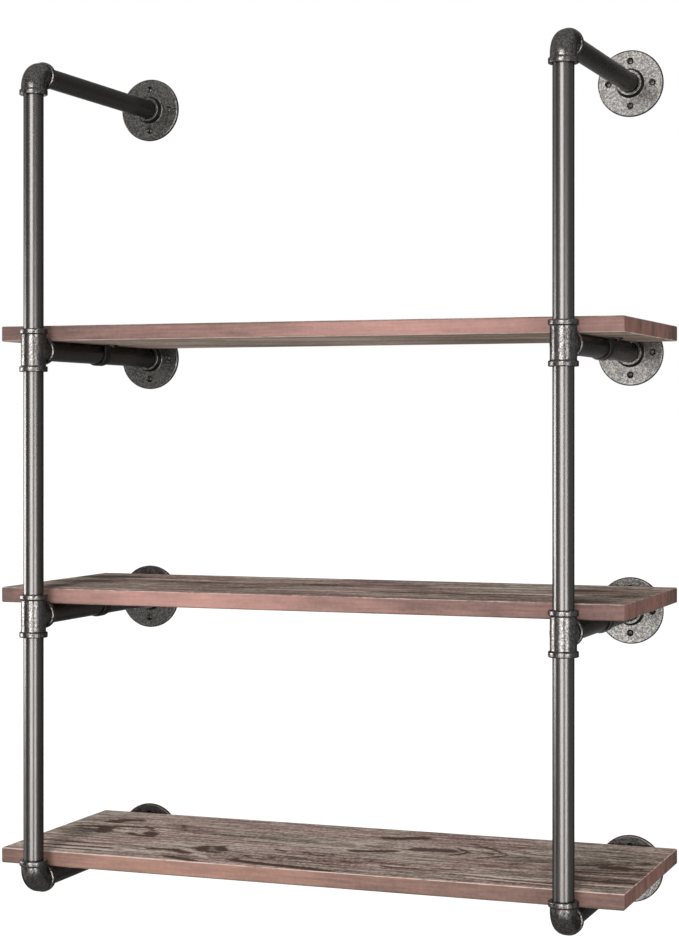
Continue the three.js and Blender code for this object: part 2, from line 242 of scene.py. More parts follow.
def new_material(name):
    """An empty material and what adds its nodes, or None for that where it was made before."""
    known = bpy.data.materials.get(name)
    if known:
        return known, None
    material = bpy.data.materials.new(name)
    material.use_nodes = True
    material.node_tree.nodes.clear()
    return material, partial(add_node, material.node_tree)


# The coat doesn't whiten towards grazing view, which keeps the far sides of the pipes dark.
EDGE_TINT = linear("#b2b0ae")
METALLIC = 0.85
SMUDGE_SPACING = 38  # mm, between the places where a coat is a little glossier or duller
# The coats by slot: name, spacing and height of the texture in mm, and roughness.
COATS = {
    # Drawn steel pipe under a satin gunmetal powder coat: dark, with soft-edged bright streaks.
    "pipe_steel": ("gunmetal_coated_pipe", 1.6, 0.002, 0.25),
    # Malleable iron, sand cast and coated: the same grey, but the skin of the sand breaks its
    # reflections into flecks.
    "fitting_iron": ("gunmetal_coated_casting", 2.1, 0.15, 0.22),
    # Flat sand-cast plate under the same coat: the flecks read as a hammered mottle.
    "flange_iron": ("gunmetal_coated_flange", 2.0, 0.06, 0.29),
    # Pressed mild steel strip under black paint: as dark as the arms, with pale lines on its edges.
    "strap_steel": ("black_painted_strap", 1.8, 0.02, 0.38),
    # Blackened screw steel: dark and slightly oily.
    "screw_steel": ("black_oxide_screw", 1.2, 0.01, 0.36),
}


def coated_metal(slot, body, pale):
    """Metal under a thin dark coat, paler on the high spots of its texture."""
    name, grain, relief, roughness = COATS[slot]
    material, add = new_material(name)
    if add is None:
        return material
    place = add("ShaderNodeTexCoord", output="Object")
    smudge, peel = (
        add("ShaderNodeTexNoise", (place, per_metre(spacing), 3.0, rough), output="Fac")
        for spacing, rough in ((SMUDGE_SPACING, 0.55), (grain, 0.65))
    )
    high_spots = add("ShaderNodeMapRange", (peel, 0.44, 0.62))
    tint = add("ShaderNodeMix", (high_spots, body, pale), data_type="RGBA")
    gloss = add("ShaderNodeMapRange", (smudge, 0.3, 0.7, roughness - 0.015, roughness + 0.02))
    bump = add("ShaderNodeBump", {"Height": peel, "Strength": 1.0, "Distance": relief * MM})
    shader = add("ShaderNodeBsdfPrincipled", {
        "Base Color": tint, "Metallic": METALLIC, "Roughness": gloss, "Specular Tint": EDGE_TINT,
        "Normal": bump,
    })
    add("ShaderNodeOutputMaterial", {"Surface": shader})
    return material


def mesh_from(name, vertices, faces):
    mesh = bpy.data.meshes.new(name)
    mesh.from_pydata([tuple(v) for v in vertices], [], [tuple(f) for f in faces])
    mesh.validate()
    return mesh


def smooth(mesh, sharp_degrees=30):
    """Shades a mesh smooth except over its sharp edges."""
    mesh.shade_smooth()
    mesh.set_sharp_from_angle(angle=math.radians(sharp_degrees))


def add_object(name, data):
    made = bpy.data.objects.new(name, data)
    bpy.context.scene.collection.objects.link(made)
    return made


def add_piece(name, mesh, material, nodes):
    """Adds a finished mesh as a piece that stands for CAD nodes."""
    mesh.name = name
    mesh.materials.clear()
    mesh.materials.append(material)
    piece = add_object(name, mesh)
    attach(piece, BODY)
    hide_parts(*nodes)


def copy_to(mesh, matrix):
    """A copy of a mesh, moved to its place."""
    copy = mesh.copy()
    copy.transform(matrix)
    return copy


def node_box(node):
    low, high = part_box(node)
    return low, high, (low + high) / 2


def node_radius(node):
    """The radius of a node that is round about Y or Z."""
    low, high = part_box(node)
    return (high.x - low.x) / 2


def new_tree(name, inputs):
    """A geometry node tree, what adds its nodes, and its inputs: a mesh and the named ones."""
    tree = bpy.data.node_groups.new(name, "GeometryNodeTree")
    for label, kind in {"Mesh": "Geometry", **inputs, "Finish": "Material"}.items():
        tree.interface.new_socket(label, in_out="INPUT", socket_type=f"NodeSocket{kind}")
    tree.interface.new_socket("Mesh", in_out="OUTPUT", socket_type="NodeSocketGeometry")
    return tree, partial(add_node, tree), tree.nodes.new("NodeGroupInput").outputs


def end_tree(add, geometry, finish):
    """Ends a tree in Realize Instances and Set Material."""
    real = add("GeometryNodeRealizeInstances", {"Geometry": geometry})
    finished = add("GeometryNodeSetMaterial", {"Geometry": real, "Material": finish})
    add("NodeGroupOutput", {"Mesh": finished})


def plain_mesh(holder):
    """The mesh that an object's modifier makes, without the modifier."""
    graph = bpy.context.evaluated_depsgraph_get()
    made = bpy.data.meshes.new_from_object(holder.evaluated_get(graph))
    holder.modifiers.clear()
    if not made.polygons:
        raise RuntimeError(f"The modifier of {holder.name} made an empty mesh")
    return made


def mesh_of_tree(tree, values, start=None):
    """Runs a tree on a start mesh with its named inputs set, and gives the plain mesh."""
    holder = add_object("holder", start or bpy.data.meshes.new("start"))
    modifier = holder.modifiers.new("shape", "NODES")
    modifier.node_group = tree
    for item in tree.interface.items_tree:
        if item.in_out == "INPUT" and item.name in values:
            modifier[item.identifier] = values[item.name]
    made = plain_mesh(holder)
    bpy.data.objects.remove(holder)
    return made


def tube_tree():
    """A pipe: its wall's section, chamfered, carried round a circle."""
    tree, add, given = new_tree("pipe", {
        "Outside radius": "Float", "Wall": "Float", "Length": "Float", "End chamfer": "Float",
        "Sides": "Int",
    })
    section = add(
        "GeometryNodeCurvePrimitiveQuadrilateral", {"Width": given["Wall"], "Height": given["Length"]},
        mode="RECTANGLE",
    )
    eased = add(
        "GeometryNodeFilletCurve", {"Curve": section, "Count": 1, "Radius": given["End chamfer"]},
        mode="POLY",
    )
    half_wall = add("ShaderNodeMath", (given["Wall"], 0.5), operation="MULTIPLY")
    middle = add("ShaderNodeMath", (given["Outside radius"], half_wall), operation="SUBTRACT")
    ring = add(
        "GeometryNodeCurvePrimitiveCircle", {"Resolution": given["Sides"], "Radius": middle},
        mode="RADIUS",
    )
    wall = add("GeometryNodeCurveToMesh", {"Curve": ring, "Profile Curve": eased})
    end_tree(add, wall, given["Finish"])
    return tree


def make_pipe(tree, node, settings, finish):
    """A pipe along the longest side of its CAD node's box."""
    low, high, centre = node_box(node)
    size = high - low
    along = max(range(3), key=lambda i: size[i])
    mesh = mesh_of_tree(tree, {
        "Outside radius": size[0] / 2, "Wall": settings.wall, "Length": size[along],
        "End chamfer": settings.end_chamfer, "Sides": settings.sides, "Finish": finish,
    })
    turn = Matrix() if along == 2 else Matrix.Rotation(math.pi / 2, 4, "X")
    mesh.transform(Matrix.Translation(centre) @ turn)
    smooth(mesh)
    add_piece(f"pipe_{node}", mesh, finish, [node])


class SHELF_OT_pipes(bpy.types.Operator):
    """Makes the upright pipes and the arms"""

    bl_idname = "shelf.pipes"
    bl_label = "Pipes"

    def execute(self, context):
        settings = context.scene.shelf_pipes
        finish = coated_metal("pipe_steel", settings.steel, settings.steel_worn)
        tree = tube_tree()
        for side in SIDES:
            for levels, kind in ((BOARD_LEVELS, "upright"), (ARM_LEVELS, "arm")):
                for level in levels:
                    make_pipe(tree, f"{side}_{level}_{kind}", settings, finish)
        return {"FINISHED"}


def smooth_min(a, b, blend):
    """The lesser of two fields, rounded where they meet."""
    near = np.clip(0.5 + 0.5 * (b - a) / blend, 0, 1)
    return b + (a - b) * near - blend * near * (1 - near)


def gradient(field, points, reach=0.02):
    """The direction in which a field grows fastest, and how fast."""
    slopes = [field(points + step) - field(points - step) for step in np.eye(3) * reach]
    return np.stack(slopes, axis=-1) / (2 * reach)


LEAST_SLOPE = 0.05  # the square of a slope counts as at least this, so that no point is thrown far


def settle(field, points, most):
    """Moves points onto the surface where a field is zero, by `most` at a time."""
    for _ in range(4):
        slope = gradient(field, points)
        size = np.maximum((slope ** 2).sum(-1), LEAST_SLOPE)
        move = -slope * (field(points) / size)[:, None]
        distance = np.linalg.norm(move, axis=-1, keepdims=True)
        points = points + move * np.minimum(1, most / np.maximum(distance, 1e-9))
    return points


def even_out(points, faces):
    """Moves each point half way to the mean of its neighbours."""
    edges = np.concatenate([faces[:, [i, (i + 1) % 4]] for i in range(4)])
    edges = np.concatenate([edges, edges[:, ::-1]])
    total = np.zeros_like(points)
    number = np.zeros(len(points))
    np.add.at(total, edges[:, 0], points[edges[:, 1]])
    np.add.at(number, edges[:, 0], 1)
    return (points + total / number[:, None]) / 2


def skin(field, low, high, step):
    """A closed mesh of quads on the surface where a field is zero, negative inside."""
    axes = [np.arange(low[i] - 2 * step, high[i] + 3 * step, step) for i in range(3)]
    grid = np.stack(np.meshgrid(*axes, indexing="ij"), axis=-1)
    value = field(grid)
    cells = value.shape
    total = np.zeros((*cells, 3))
    number = np.zeros(cells)
    quads = []
    for axis in range(3):
        turned = np.moveaxis(value, axis, 0)
        near, far = (np.moveaxis(half, 0, axis) for half in (turned[:-1], turned[1:]))
        found = np.argwhere((near < 0) != (far < 0))
        place = tuple(found.T)
        before, after, point = near[place], far[place], grid[place]
        point[:, axis] += step * before / (before - after)
        corners = []
        for back in ((1, 1), (0, 1), (0, 0), (1, 0)):
            cell = found.copy()
            cell[:, [(axis + 1) % 3, (axis + 2) % 3]] -= back
            place = tuple(cell.T)
            np.add.at(total, place, point)
            np.add.at(number, place, 1)
            corners.append(np.ravel_multi_index(place, cells))
        quad = np.stack(corners, axis=-1)
        inward = before >= 0
        quad[inward] = quad[inward][:, ::-1]
        quads.append(quad)
    quads = np.concatenate(quads)
    used, faces = np.unique(quads, return_inverse=True)
    faces = faces.reshape(quads.shape)
    points = total.reshape(-1, 3)[used] / number.reshape(-1)[used][:, None]
    for _ in range(3):
        points = settle(field, even_out(points, faces), step / 2)
    return points, faces


def waves(points, spacing, seed):
    """Smooth unevenness between 0 and 1 from a few crossed waves, the same on each run."""
    random = np.random.default_rng(seed)
    total = np.zeros(points.shape[:-1])
    for _ in range(9):
        heading = random.normal(size=3)
        heading *= random.uniform(0.6, 1.5) * 2 * math.pi / (spacing * np.linalg.norm(heading))
        total += np.sin(points @ heading + random.uniform(0, 2 * math.pi))
    return np.clip(0.5 + total / 12, 0, 1)


def casting_sizes(settings, node):
    """The radii and reach of a fitting in mm, from its CAD box and the bands on it."""
    low, high, _ = node_box(node)
    band = (high.x - low.x) / 2 / MM
    bore = node_radius("left_middle_upright") / MM + settings.socket_gap / MM
    return SimpleNamespace(
        band=band, reach=(high.y - low.y) / MM - band, bore=bore,
        body=band - settings.band_raise / MM, width=settings.band_width / MM,
        rounding=settings.band_round / MM, socket=settings.socket_depth / MM,
        waterway=bore - settings.shoulder / MM, fillet=settings.fillet / MM,
        uneven=settings.unevenness / MM,
    )


BAND_BLEND = 0.7  # mm, where a band meets the body
MOUTH_BLEND = 0.5  # mm, on the edges of a socket
HOLLOW_SPACING = 11.0  # mm, between the hollows that the mould left


def raised_band(radius, along, sizes):
    """Distance from the band at a mouth, a short cylinder with rounded edges."""
    start, end = sizes.reach - sizes.width, sizes.reach
    side = radius - (sizes.band - sizes.rounding)
    face = np.abs(along - (start + end) / 2) - ((end - start) / 2 - sizes.rounding)
    outside = np.hypot(np.maximum(side, 0), np.maximum(face, 0))
    return outside + np.minimum(np.maximum(side, face), 0) - sizes.rounding


def with_mouths(solid, hollow, mouths, sizes):
    """A fitting from its body, its waterway and its mouths, each a radius and how far along it is."""
    for radius, along in mouths:
        solid = smooth_min(solid, raised_band(radius, along, sizes), BAND_BLEND)
        socket = np.maximum(radius - sizes.bore, sizes.reach - sizes.socket - along)
        hollow = np.minimum(hollow, socket)
    return -smooth_min(-solid, hollow, MOUTH_BLEND)


def tee_field(points, sizes):
    """A tee with its run along Z and its branch along +Y, in mm about the axes' crossing."""
    x, y, z = np.moveaxis(points, -1, 0)
    run, branch = np.hypot(x, y), np.hypot(x, z)
    reach = sizes.reach
    run_body = np.maximum(run - sizes.body, np.abs(z) - reach + 1)
    branch_body = np.maximum(branch - sizes.body, np.abs(y - reach / 2) - reach / 2 + 1)
    solid = smooth_min(run_body, branch_body, sizes.fillet)
    hollow = np.minimum(run, np.where(y > 0, branch, run)) - sizes.waterway
    return with_mouths(solid, hollow, ((run, np.abs(z)), (branch, y)), sizes)


def elbow_field(points, sizes):
    """An elbow with one mouth up (+Z) and one along +Y, in mm about the axes' crossing."""
    x, y, z = np.moveaxis(points, -1, 0)
    up, back = np.hypot(x, y), np.hypot(x, z)
    bend = sizes.reach - sizes.socket
    round_bend = np.hypot(x, np.hypot(y - bend, z - bend) - bend)
    legs = np.where(z > bend, np.where(y > bend, np.minimum(up, back), up), back)
    centre_line = np.where((y < bend) & (z < bend), round_bend, legs)
    body = np.maximum(centre_line - sizes.body, np.maximum(y, z) - sizes.reach + 1)
    return with_mouths(body, centre_line - sizes.waterway, ((up, z), (back, y)), sizes)


def casting_mesh(settings, name, shape, sizes, lowest, seed):
    """A casting with shallow hollows taken out of it, so that it never stands out of its CAD box."""
    def field(points):
        return shape(points, sizes) + sizes.uneven * waves(points, HOLLOW_SPACING, seed)

    side, top = sizes.band + 1, sizes.reach + 1
    points, faces = skin(field, (-side, -side, lowest - 1), (side, top, top), settings.mesh_step / MM)
    mesh = mesh_from(name, points * MM, faces)
    smooth(mesh, 50)
    return mesh


def place_castings(settings, kind, mesh, levels):
    """Puts a copy of a casting on each side at each level, turned about Y."""
    finish = coated_metal("fitting_iron", settings.iron, settings.iron_pale)
    for side in SIDES:
        _, _, upright = node_box(f"{side}_middle_upright")
        for level, turn in levels:
            _, _, arm = node_box(f"{side}_{level}_arm")
            place = Matrix.Translation((upright.x, upright.y, arm.z)) @ Matrix.Rotation(turn, 4, "Y")
            node = f"{side}_{level}_{kind}"
            add_piece(f"cast_{node}", copy_to(mesh, place), finish, [node])


class SHELF_OT_elbows(bpy.types.Operator):
    """Makes the cast elbows at the ends of the columns"""

    bl_idname = "shelf.elbows"
    bl_label = "Elbows"

    def execute(self, context):
        settings = context.scene.shelf_fittings
        sizes = casting_sizes(settings, "left_bottom_elbow")
        mesh = casting_mesh(settings, "elbow", elbow_field, sizes, -sizes.band, 5)
        place_castings(settings, "elbow", mesh, (("bottom", 0.0), ("top", math.pi)))
        return {"FINISHED"}


class SHELF_OT_tees(bpy.types.Operator):
    """Makes the cast tees at the middle and upper arms"""

    bl_idname = "shelf.tees"
    bl_label = "Tees"

    def execute(self, context):
        settings = context.scene.shelf_fittings
        sizes = casting_sizes(settings, "left_middle_tee")
        mesh = casting_mesh(settings, "tee", tee_field, sizes, -sizes.reach, 3)
        place_castings(settings, "tee", mesh, (("middle", 0.0), ("upper", 0.0)))
        return {"FINISHED"}


def arc(centre, radius, start, end, steps):
    """Points on an arc, its angles in degrees."""
    angles = [math.radians(start + (end - start) * i / steps) for i in range(steps + 1)]
    return [(centre[0] + radius * math.cos(a), centre[1] + radius * math.sin(a)) for a in angles]


def turned_points(profile, sides):
    """The points of a profile of (radius, height), turned round Z."""
    angles = [2 * math.pi * i / sides for i in range(sides)]
    return [(r * math.cos(a), r * math.sin(a), h) for a in angles for r, h in profile]


def turned_mesh(name, profile, sides):
    """Turns a closed profile round Z."""
    size = len(profile)
    faces = []
    for i in range(sides):
        this, after = i * size, (i + 1) % sides * size
        for j in range(size):
            k = (j + 1) % size
            faces.append((this + j, this + k, after + k, after + j))
    return mesh_from(name, turned_points(profile, sides), faces)


def capped_mesh(name, profile, sides):
    """Turns an open profile that starts and ends on the axis round Z."""
    inner = profile[1:-1]
    points = [(0.0, 0.0, profile[0][1]), (0.0, 0.0, profile[-1][1])] + turned_points(inner, sides)
    size = len(inner)
    faces = []
    for i in range(sides):
        this, after = 2 + i * size, 2 + (i + 1) % sides * size
        faces += [(0, after, this), (1, this + size - 1, after + size - 1)]
        faces += [(this + j, after + j, after + j + 1, this + j + 1) for j in range(size - 1)]
    return mesh_from(name, points, faces)


SEAT_GAP = 0.3 * MM  # left between a pipe and the flange or strap that holds it
SUPPORT = 0.3 * MM  # a ring this close to a rounded edge keeps the flat beside it flat
HUB_DRAFT = 0.3 * MM  # how much wider the hub is just below its rounded edge
BACK_EASE = 0.4 * MM  # chamfer round the back of the plate
MOUTH_EASE = 0.5 * MM  # chamfer round the hub's mouth


def flange_bore():
    return node_radius("left_top_arm") + SEAT_GAP


def hole_circle(settings):
    """The radius of the circle that a flange's screw holes lie on."""
    return flange_bore() + settings.hub_wall + settings.hub_flare + settings.hole_standoff


def flange_profile(settings, radius, height):
    """The flange's section as (radius, height above the wall), anticlockwise."""
    bore, plate = flange_bore(), settings.plate
    hub = bore + settings.hub_wall
    rim, ease, fillet = settings.rim_round, settings.hub_round, settings.foot_fillet
    foot = hub + settings.hub_flare + fillet
    return [
        (bore, 0.0), (radius - BACK_EASE, 0.0), (radius, BACK_EASE), (radius, plate - rim - SUPPORT),
        *arc((radius - rim, plate - rim), rim, 0, 90, 5),
        (radius - rim - SUPPORT, plate), (foot + SUPPORT, plate),
        *arc((foot, plate + fillet), fillet, 270, 188, 5),
        (hub + HUB_DRAFT, height - ease - SUPPORT),
        *arc((hub - ease, height - ease), ease, 12, 90, 5),
        (hub - ease - SUPPORT, height), (bore + MOUTH_EASE, height), (bore, height - MOUTH_EASE),
    ]


def sink_profile(settings):
    """The cutter of a countersunk hole, up through the plate and past its front."""
    over = 1.0 * MM
    hole, sink, plate = settings.hole_radius, settings.sink_radius, settings.plate
    return [
        (0.0, -over), (hole, -over), (hole, plate - (sink - hole)), (sink, plate),
        (sink + over / 2, plate + over / 2), (0.0, plate + over / 2),
    ]


def flange_tree():
    """Cuts screw holes, evenly spaced round a circle, out of a flange's blank."""
    tree, add, given = new_tree(
        "flange", {"Cutter": "Object", "Holes": "Int", "Hole circle": "Float"},
    )
    ring = add(
        "GeometryNodeMeshCircle", {"Vertices": given["Holes"], "Radius": given["Hole circle"]},
        fill_type="NONE",
    )
    cutter = add("GeometryNodeObjectInfo", {"Object": given["Cutter"]}, output="Geometry")
    cutters = add("GeometryNodeInstanceOnPoints", {"Points": ring, "Instance": cutter})
    drilled = add(
        "GeometryNodeMeshBoolean", {"Mesh 1": given["Mesh"], "Mesh 2": cutters},
        operation="DIFFERENCE", solver="EXACT",
    )
    end_tree(add, drilled, given["Finish"])
    return tree


def flange_mesh(settings, finish):
    """A flange with its back on the plane Z = 0, about its axis."""
    low, high, _ = node_box("left_top_flange")
    profile = flange_profile(settings, (high.x - low.x) / 2, high.y - low.y)
    cutter = add_object("hole_cutter", capped_mesh("cutter", sink_profile(settings), 40))
    mesh = mesh_of_tree(flange_tree(), {
        "Cutter": cutter, "Holes": settings.holes, "Hole circle": hole_circle(settings),
        "Finish": finish,
    }, turned_mesh("flange_blank", profile, settings.sides))
    bpy.data.objects.remove(cutter)
    smooth(mesh)
    return mesh


class SHELF_OT_flanges(bpy.types.Operator):
    """Makes the wall flanges with their countersunk holes"""

    bl_idname = "shelf.flanges"
    bl_label = "Wall flanges"

    def execute(self, context):
        settings = context.scene.shelf_flanges
        finish = coated_metal("flange_iron", settings.iron, settings.iron_pale)
        mesh = flange_mesh(settings, finish)
        turn = Matrix.Rotation(math.pi / 2, 4, "X")
        for side in SIDES:
            for level in ARM_LEVELS:
                node = f"{side}_{level}_flange"
                _, high, centre = node_box(node)
                place = Matrix.Translation((centre.x, high.y, centre.z)) @ turn
                add_piece(f"cast_{node}", copy_to(mesh, place), finish, [node])
        return {"FINISHED"}


STRAP_ROUND_STEPS = 16  # round a quarter of the pipe
STRAP_BEND_STEPS = 8
STRAP_EAR_STEPS = 12
STRAP_TIP = 0.4 * MM  # half width of the blunt end of an ear
EAR_REACH = 0.999  # where the last station lies, as a share of an ear's length


def strap_path(settings, pipe, ear_top, tip):
    """Stations along half a strap's middle, from under the pipe to an ear's tip: x, z, normal."""
    half, bend = settings.thickness / 2, settings.bend
    under = pipe + half
    ear = ear_top - half
    turns = [math.radians(90 * i / STRAP_ROUND_STEPS) for i in range(STRAP_ROUND_STEPS + 1)]
    path = [(under * math.sin(a), -under * math.cos(a), a - math.pi / 2) for a in turns]
    path.append((under, (ear - bend) / 2, 0.0))
    bends = arc((under + bend, ear - bend), bend, 180, 90, STRAP_BEND_STEPS)
    path += [(x, z, -math.pi / 2 * i / STRAP_BEND_STEPS) for i, (x, z) in enumerate(bends)]
    ear_length = (tip - (under + bend)) * EAR_REACH
    for i in range(1, STRAP_EAR_STEPS + 1):
        share = math.sin(math.pi / 2 * i / STRAP_EAR_STEPS)
        path.append((under + bend + ear_length * share, ear, -math.pi / 2))
    return path


def strap_mesh(settings):
    """A strap under an arm along Y, about the arm's axis and the strap's middle."""
    low, high, _ = node_box("left_middle_strap")
    _, _, arm = node_box("left_middle_arm")
    width = (high.y - low.y) / 2
    tip = (high.x - low.x) / 2
    side = strap_path(settings, node_radius("left_middle_arm") + SEAT_GAP, high.z - arm.z, tip)
    path = [(-x, z, math.pi - a) for x, z, a in reversed(side[1:])] + side
    half = settings.thickness / 2
    flat = half - settings.edge
    points = []
    for x, z, angle in path:
        inside = max(0.0, min(1.0, (tip - abs(x)) / width))
        reach = max(width * math.sqrt(1 - (1 - inside) ** 2), STRAP_TIP)
        inner = reach - min(settings.edge, reach / 2)
        section = [
            (-inner, half), (-reach, flat), (-reach, -flat), (-inner, -half),
            (inner, -half), (reach, -flat), (reach, flat), (inner, half),
        ]
        points += [(x + math.cos(angle) * t, w, z + math.sin(angle) * t) for w, t in section]
    last = len(points) - 8
    faces = [tuple(range(7, -1, -1)), tuple(range(last, last + 8))]
    for row in range(0, last, 8):
        faces += [(row + i, row + (i + 1) % 8, row + (i + 1) % 8 + 8, row + i + 8) for i in range(8)]
    mesh = mesh_from("strap", points, faces)
    smooth(mesh, 35)
    return mesh


class SHELF_OT_straps(bpy.types.Operator):
    """Makes the straps that hold the boards to the arms"""

    bl_idname = "shelf.straps"
    bl_label = "Pipe straps"

    def execute(self, context):
        settings = context.scene.shelf_straps
        finish = coated_metal("strap_steel", settings.steel, settings.steel)
        mesh = strap_mesh(settings)
        for side in SIDES:
            for level in BOARD_LEVELS:
                node = f"{side}_{level}_strap"
                _, _, centre = node_box(node)
                _, _, arm = node_box(f"{side}_{level}_arm")
                place = Matrix.Translation((arm.x, centre.y, arm.z))
                add_piece(f"pressed_{node}", copy_to(mesh, place), finish, [node])
        return {"FINISHED"}


RECESS_OVER = 0.5 * MM  # how far the recess's cutter stands out of the head
RECESS_TAPER = 0.55  # length of the recess at its bottom, as a share of its length at the front
# The pan head's section, as shares of its radius and its height.
HEAD_SHAPE = ((0.0, 1), (0.35, 1), (0.62, 0.93), (0.84, 0.74), (0.97, 0.42), (1, 0.15), (0.97, 0.0))


def cross_recess(settings):
    """The cutter of a cross recess: two crossed wedges on a head that faces down."""
    slot = settings.recess_slot / 2
    bottom = -settings.head_height - RECESS_OVER
    top = -settings.head_height + settings.recess_depth
    points = []
    for height, reach in ((bottom, settings.recess), (top, settings.recess * RECESS_TAPER)):
        corners = [(reach, -slot), (reach, slot), (slot, slot)]
        for _ in range(4):
            points += [(x, y, height) for x, y in corners]
            corners = [(-y, x) for x, y in corners]
    faces = [tuple(range(11, -1, -1)), tuple(range(12, 24))]
    faces += [(i, (i + 1) % 12, 12 + (i + 1) % 12, 12 + i) for i in range(12)]
    return mesh_from("recess", points, faces)


def recessed_screw(settings, shank_length):
    """One pan-head screw, point up, about its head's underside, as an object that the tree copies."""
    shank = settings.shank_radius
    profile = [(settings.head_radius * r, -settings.head_height * h) for r, h in HEAD_SHAPE]
    profile += [(shank, 0.0), (shank, shank_length - settings.point), (0.0, shank_length)]
    screw = add_object("screw", capped_mesh("screw", profile, settings.sides))
    cutter = add_object("recess", cross_recess(settings))
    cut = screw.modifiers.new("recess", "BOOLEAN")
    cut.object = cutter
    cut.solver = "EXACT"
    screw.data = plain_mesh(screw)
    bpy.data.objects.remove(cutter)
    return screw


def screw_tree():
    """Sets a screw at each point of the start mesh, each turned its own way."""
    tree, add, given = new_tree("strap_screws", {"Screw": "Object", "Turn": "Float", "Seed": "Int"})
    screw = add("GeometryNodeObjectInfo", {"Object": given["Screw"]}, output="Geometry")
    turn = add(
        "FunctionNodeRandomValue", {"Max_001": given["Turn"], "Seed": given["Seed"]},
        data_type="FLOAT",
    )
    turned = add("ShaderNodeCombineXYZ", {"Z": turn})
    screws = add(
        "GeometryNodeInstanceOnPoints",
        {"Points": given["Mesh"], "Instance": screw, "Rotation": turned},
    )
    end_tree(add, screws, given["Finish"])
    return tree


class SHELF_OT_strap_screws(bpy.types.Operator):
    """Makes the screws that hold the straps to the boards"""

    bl_idname = "shelf.strap_screws"
    bl_label = "Strap screws"

    def execute(self, context):
        settings = context.scene.shelf_screws
        finish = coated_metal("screw_steel", settings.steel, settings.steel)
        nodes = [
            f"{side}_{level}_strap_screw_{hand}"
            for side in SIDES for level in BOARD_LEVELS for hand in SIDES
        ]
        seats = []
        for node in nodes:
            low, _, centre = node_box(node)
            seats.append((centre.x, centre.y, low.z + settings.head_height))
        low, high, _ = node_box(nodes[0])
        screw = recessed_screw(settings, high.z - low.z - settings.head_height)
        mesh = mesh_of_tree(screw_tree(), {
            "Screw": screw, "Turn": math.pi / 2, "Seed": 4, "Finish": finish,
        }, mesh_from("seats", seats, []))
        bpy.data.objects.remove(screw)
        smooth(mesh, 40)
        add_piece("strap_screws", mesh, finish, nodes)
        return {"FINISHED"}


def axis_cuts(low, high, spacing, arris, margins):
    """Where a board is cut along one axis, with extra cuts in its arrises and beside them."""
    inner_low, inner_high = low + arris, high - arris
    number = max(1, round((inner_high - inner_low) / spacing))
    inner = np.linspace(inner_low, inner_high, number + 1)
    ease = arris * math.tan(math.radians(22.5))
    cuts = [low, high, inner_low - ease, inner_high + ease]
    cuts += [inner_low + margin for margin in margins] + [inner_high - margin for margin in margins]
    return np.unique(np.round(np.concatenate([inner, cuts]), 4))


def block_mesh(cuts):
    """The outside of a block cut along three axes, as points and outward quads."""
    shape = [len(c) for c in cuts]
    grid = np.stack(np.meshgrid(*cuts, indexing="ij"), axis=-1)
    number = np.arange(np.prod(shape)).reshape(shape)
    quads = []
    for axis in range(3):
        for end in (0, -1):
            sheet = np.take(number, end, axis=axis)
            quad = np.stack([sheet[:-1, :-1], sheet[1:, :-1], sheet[1:, 1:], sheet[:-1, 1:]], -1)
            quad = quad.reshape(-1, 4)
            if (end == 0) != (axis == 1):
                quad = quad[:, ::-1]
            quads.append(quad)
    used, faces = np.unique(np.concatenate(quads), return_inverse=True)
    return grid.reshape(-1, 3)[used], faces.reshape(-1, 4)


def round_arrises(points, low, high, arris):
    """Rounds a block's edges, and gives how far round an edge each point lies, 0 on the flats."""
    inner = np.clip(points, low + arris, high - arris)
    away = points - inner
    unit = away / np.linalg.norm(away, axis=-1, keepdims=True)
    on_edge = 1 - np.abs(unit).max(-1)
    return inner + unit * arris, on_edge / (1 - math.sqrt(0.5))


# Knots that the grain of a board parts round, in mm: x from the middle of the board, y from the
# wall, half length, half width and how far the grain parts.
BOARD_KNOTS = {
    "bottom": ((-300, -155, 30, 14, 5), (134, -142, 42, 8, 7), (-155, -235, 24, 8, 4),
               (376, -175, 30, 8, 4), (60, -78, 30, 7, 3), (-367, -86, 26, 8, 3)),
    "middle": ((-280, -210, 40, 8, 6), (150, -250, 46, 8, 6), (330, -130, 30, 9, 6)),
    "upper": ((-220, -120, 36, 9, 7), (90, -230, 42, 8, 6), (310, -80, 30, 7, 4)),
}
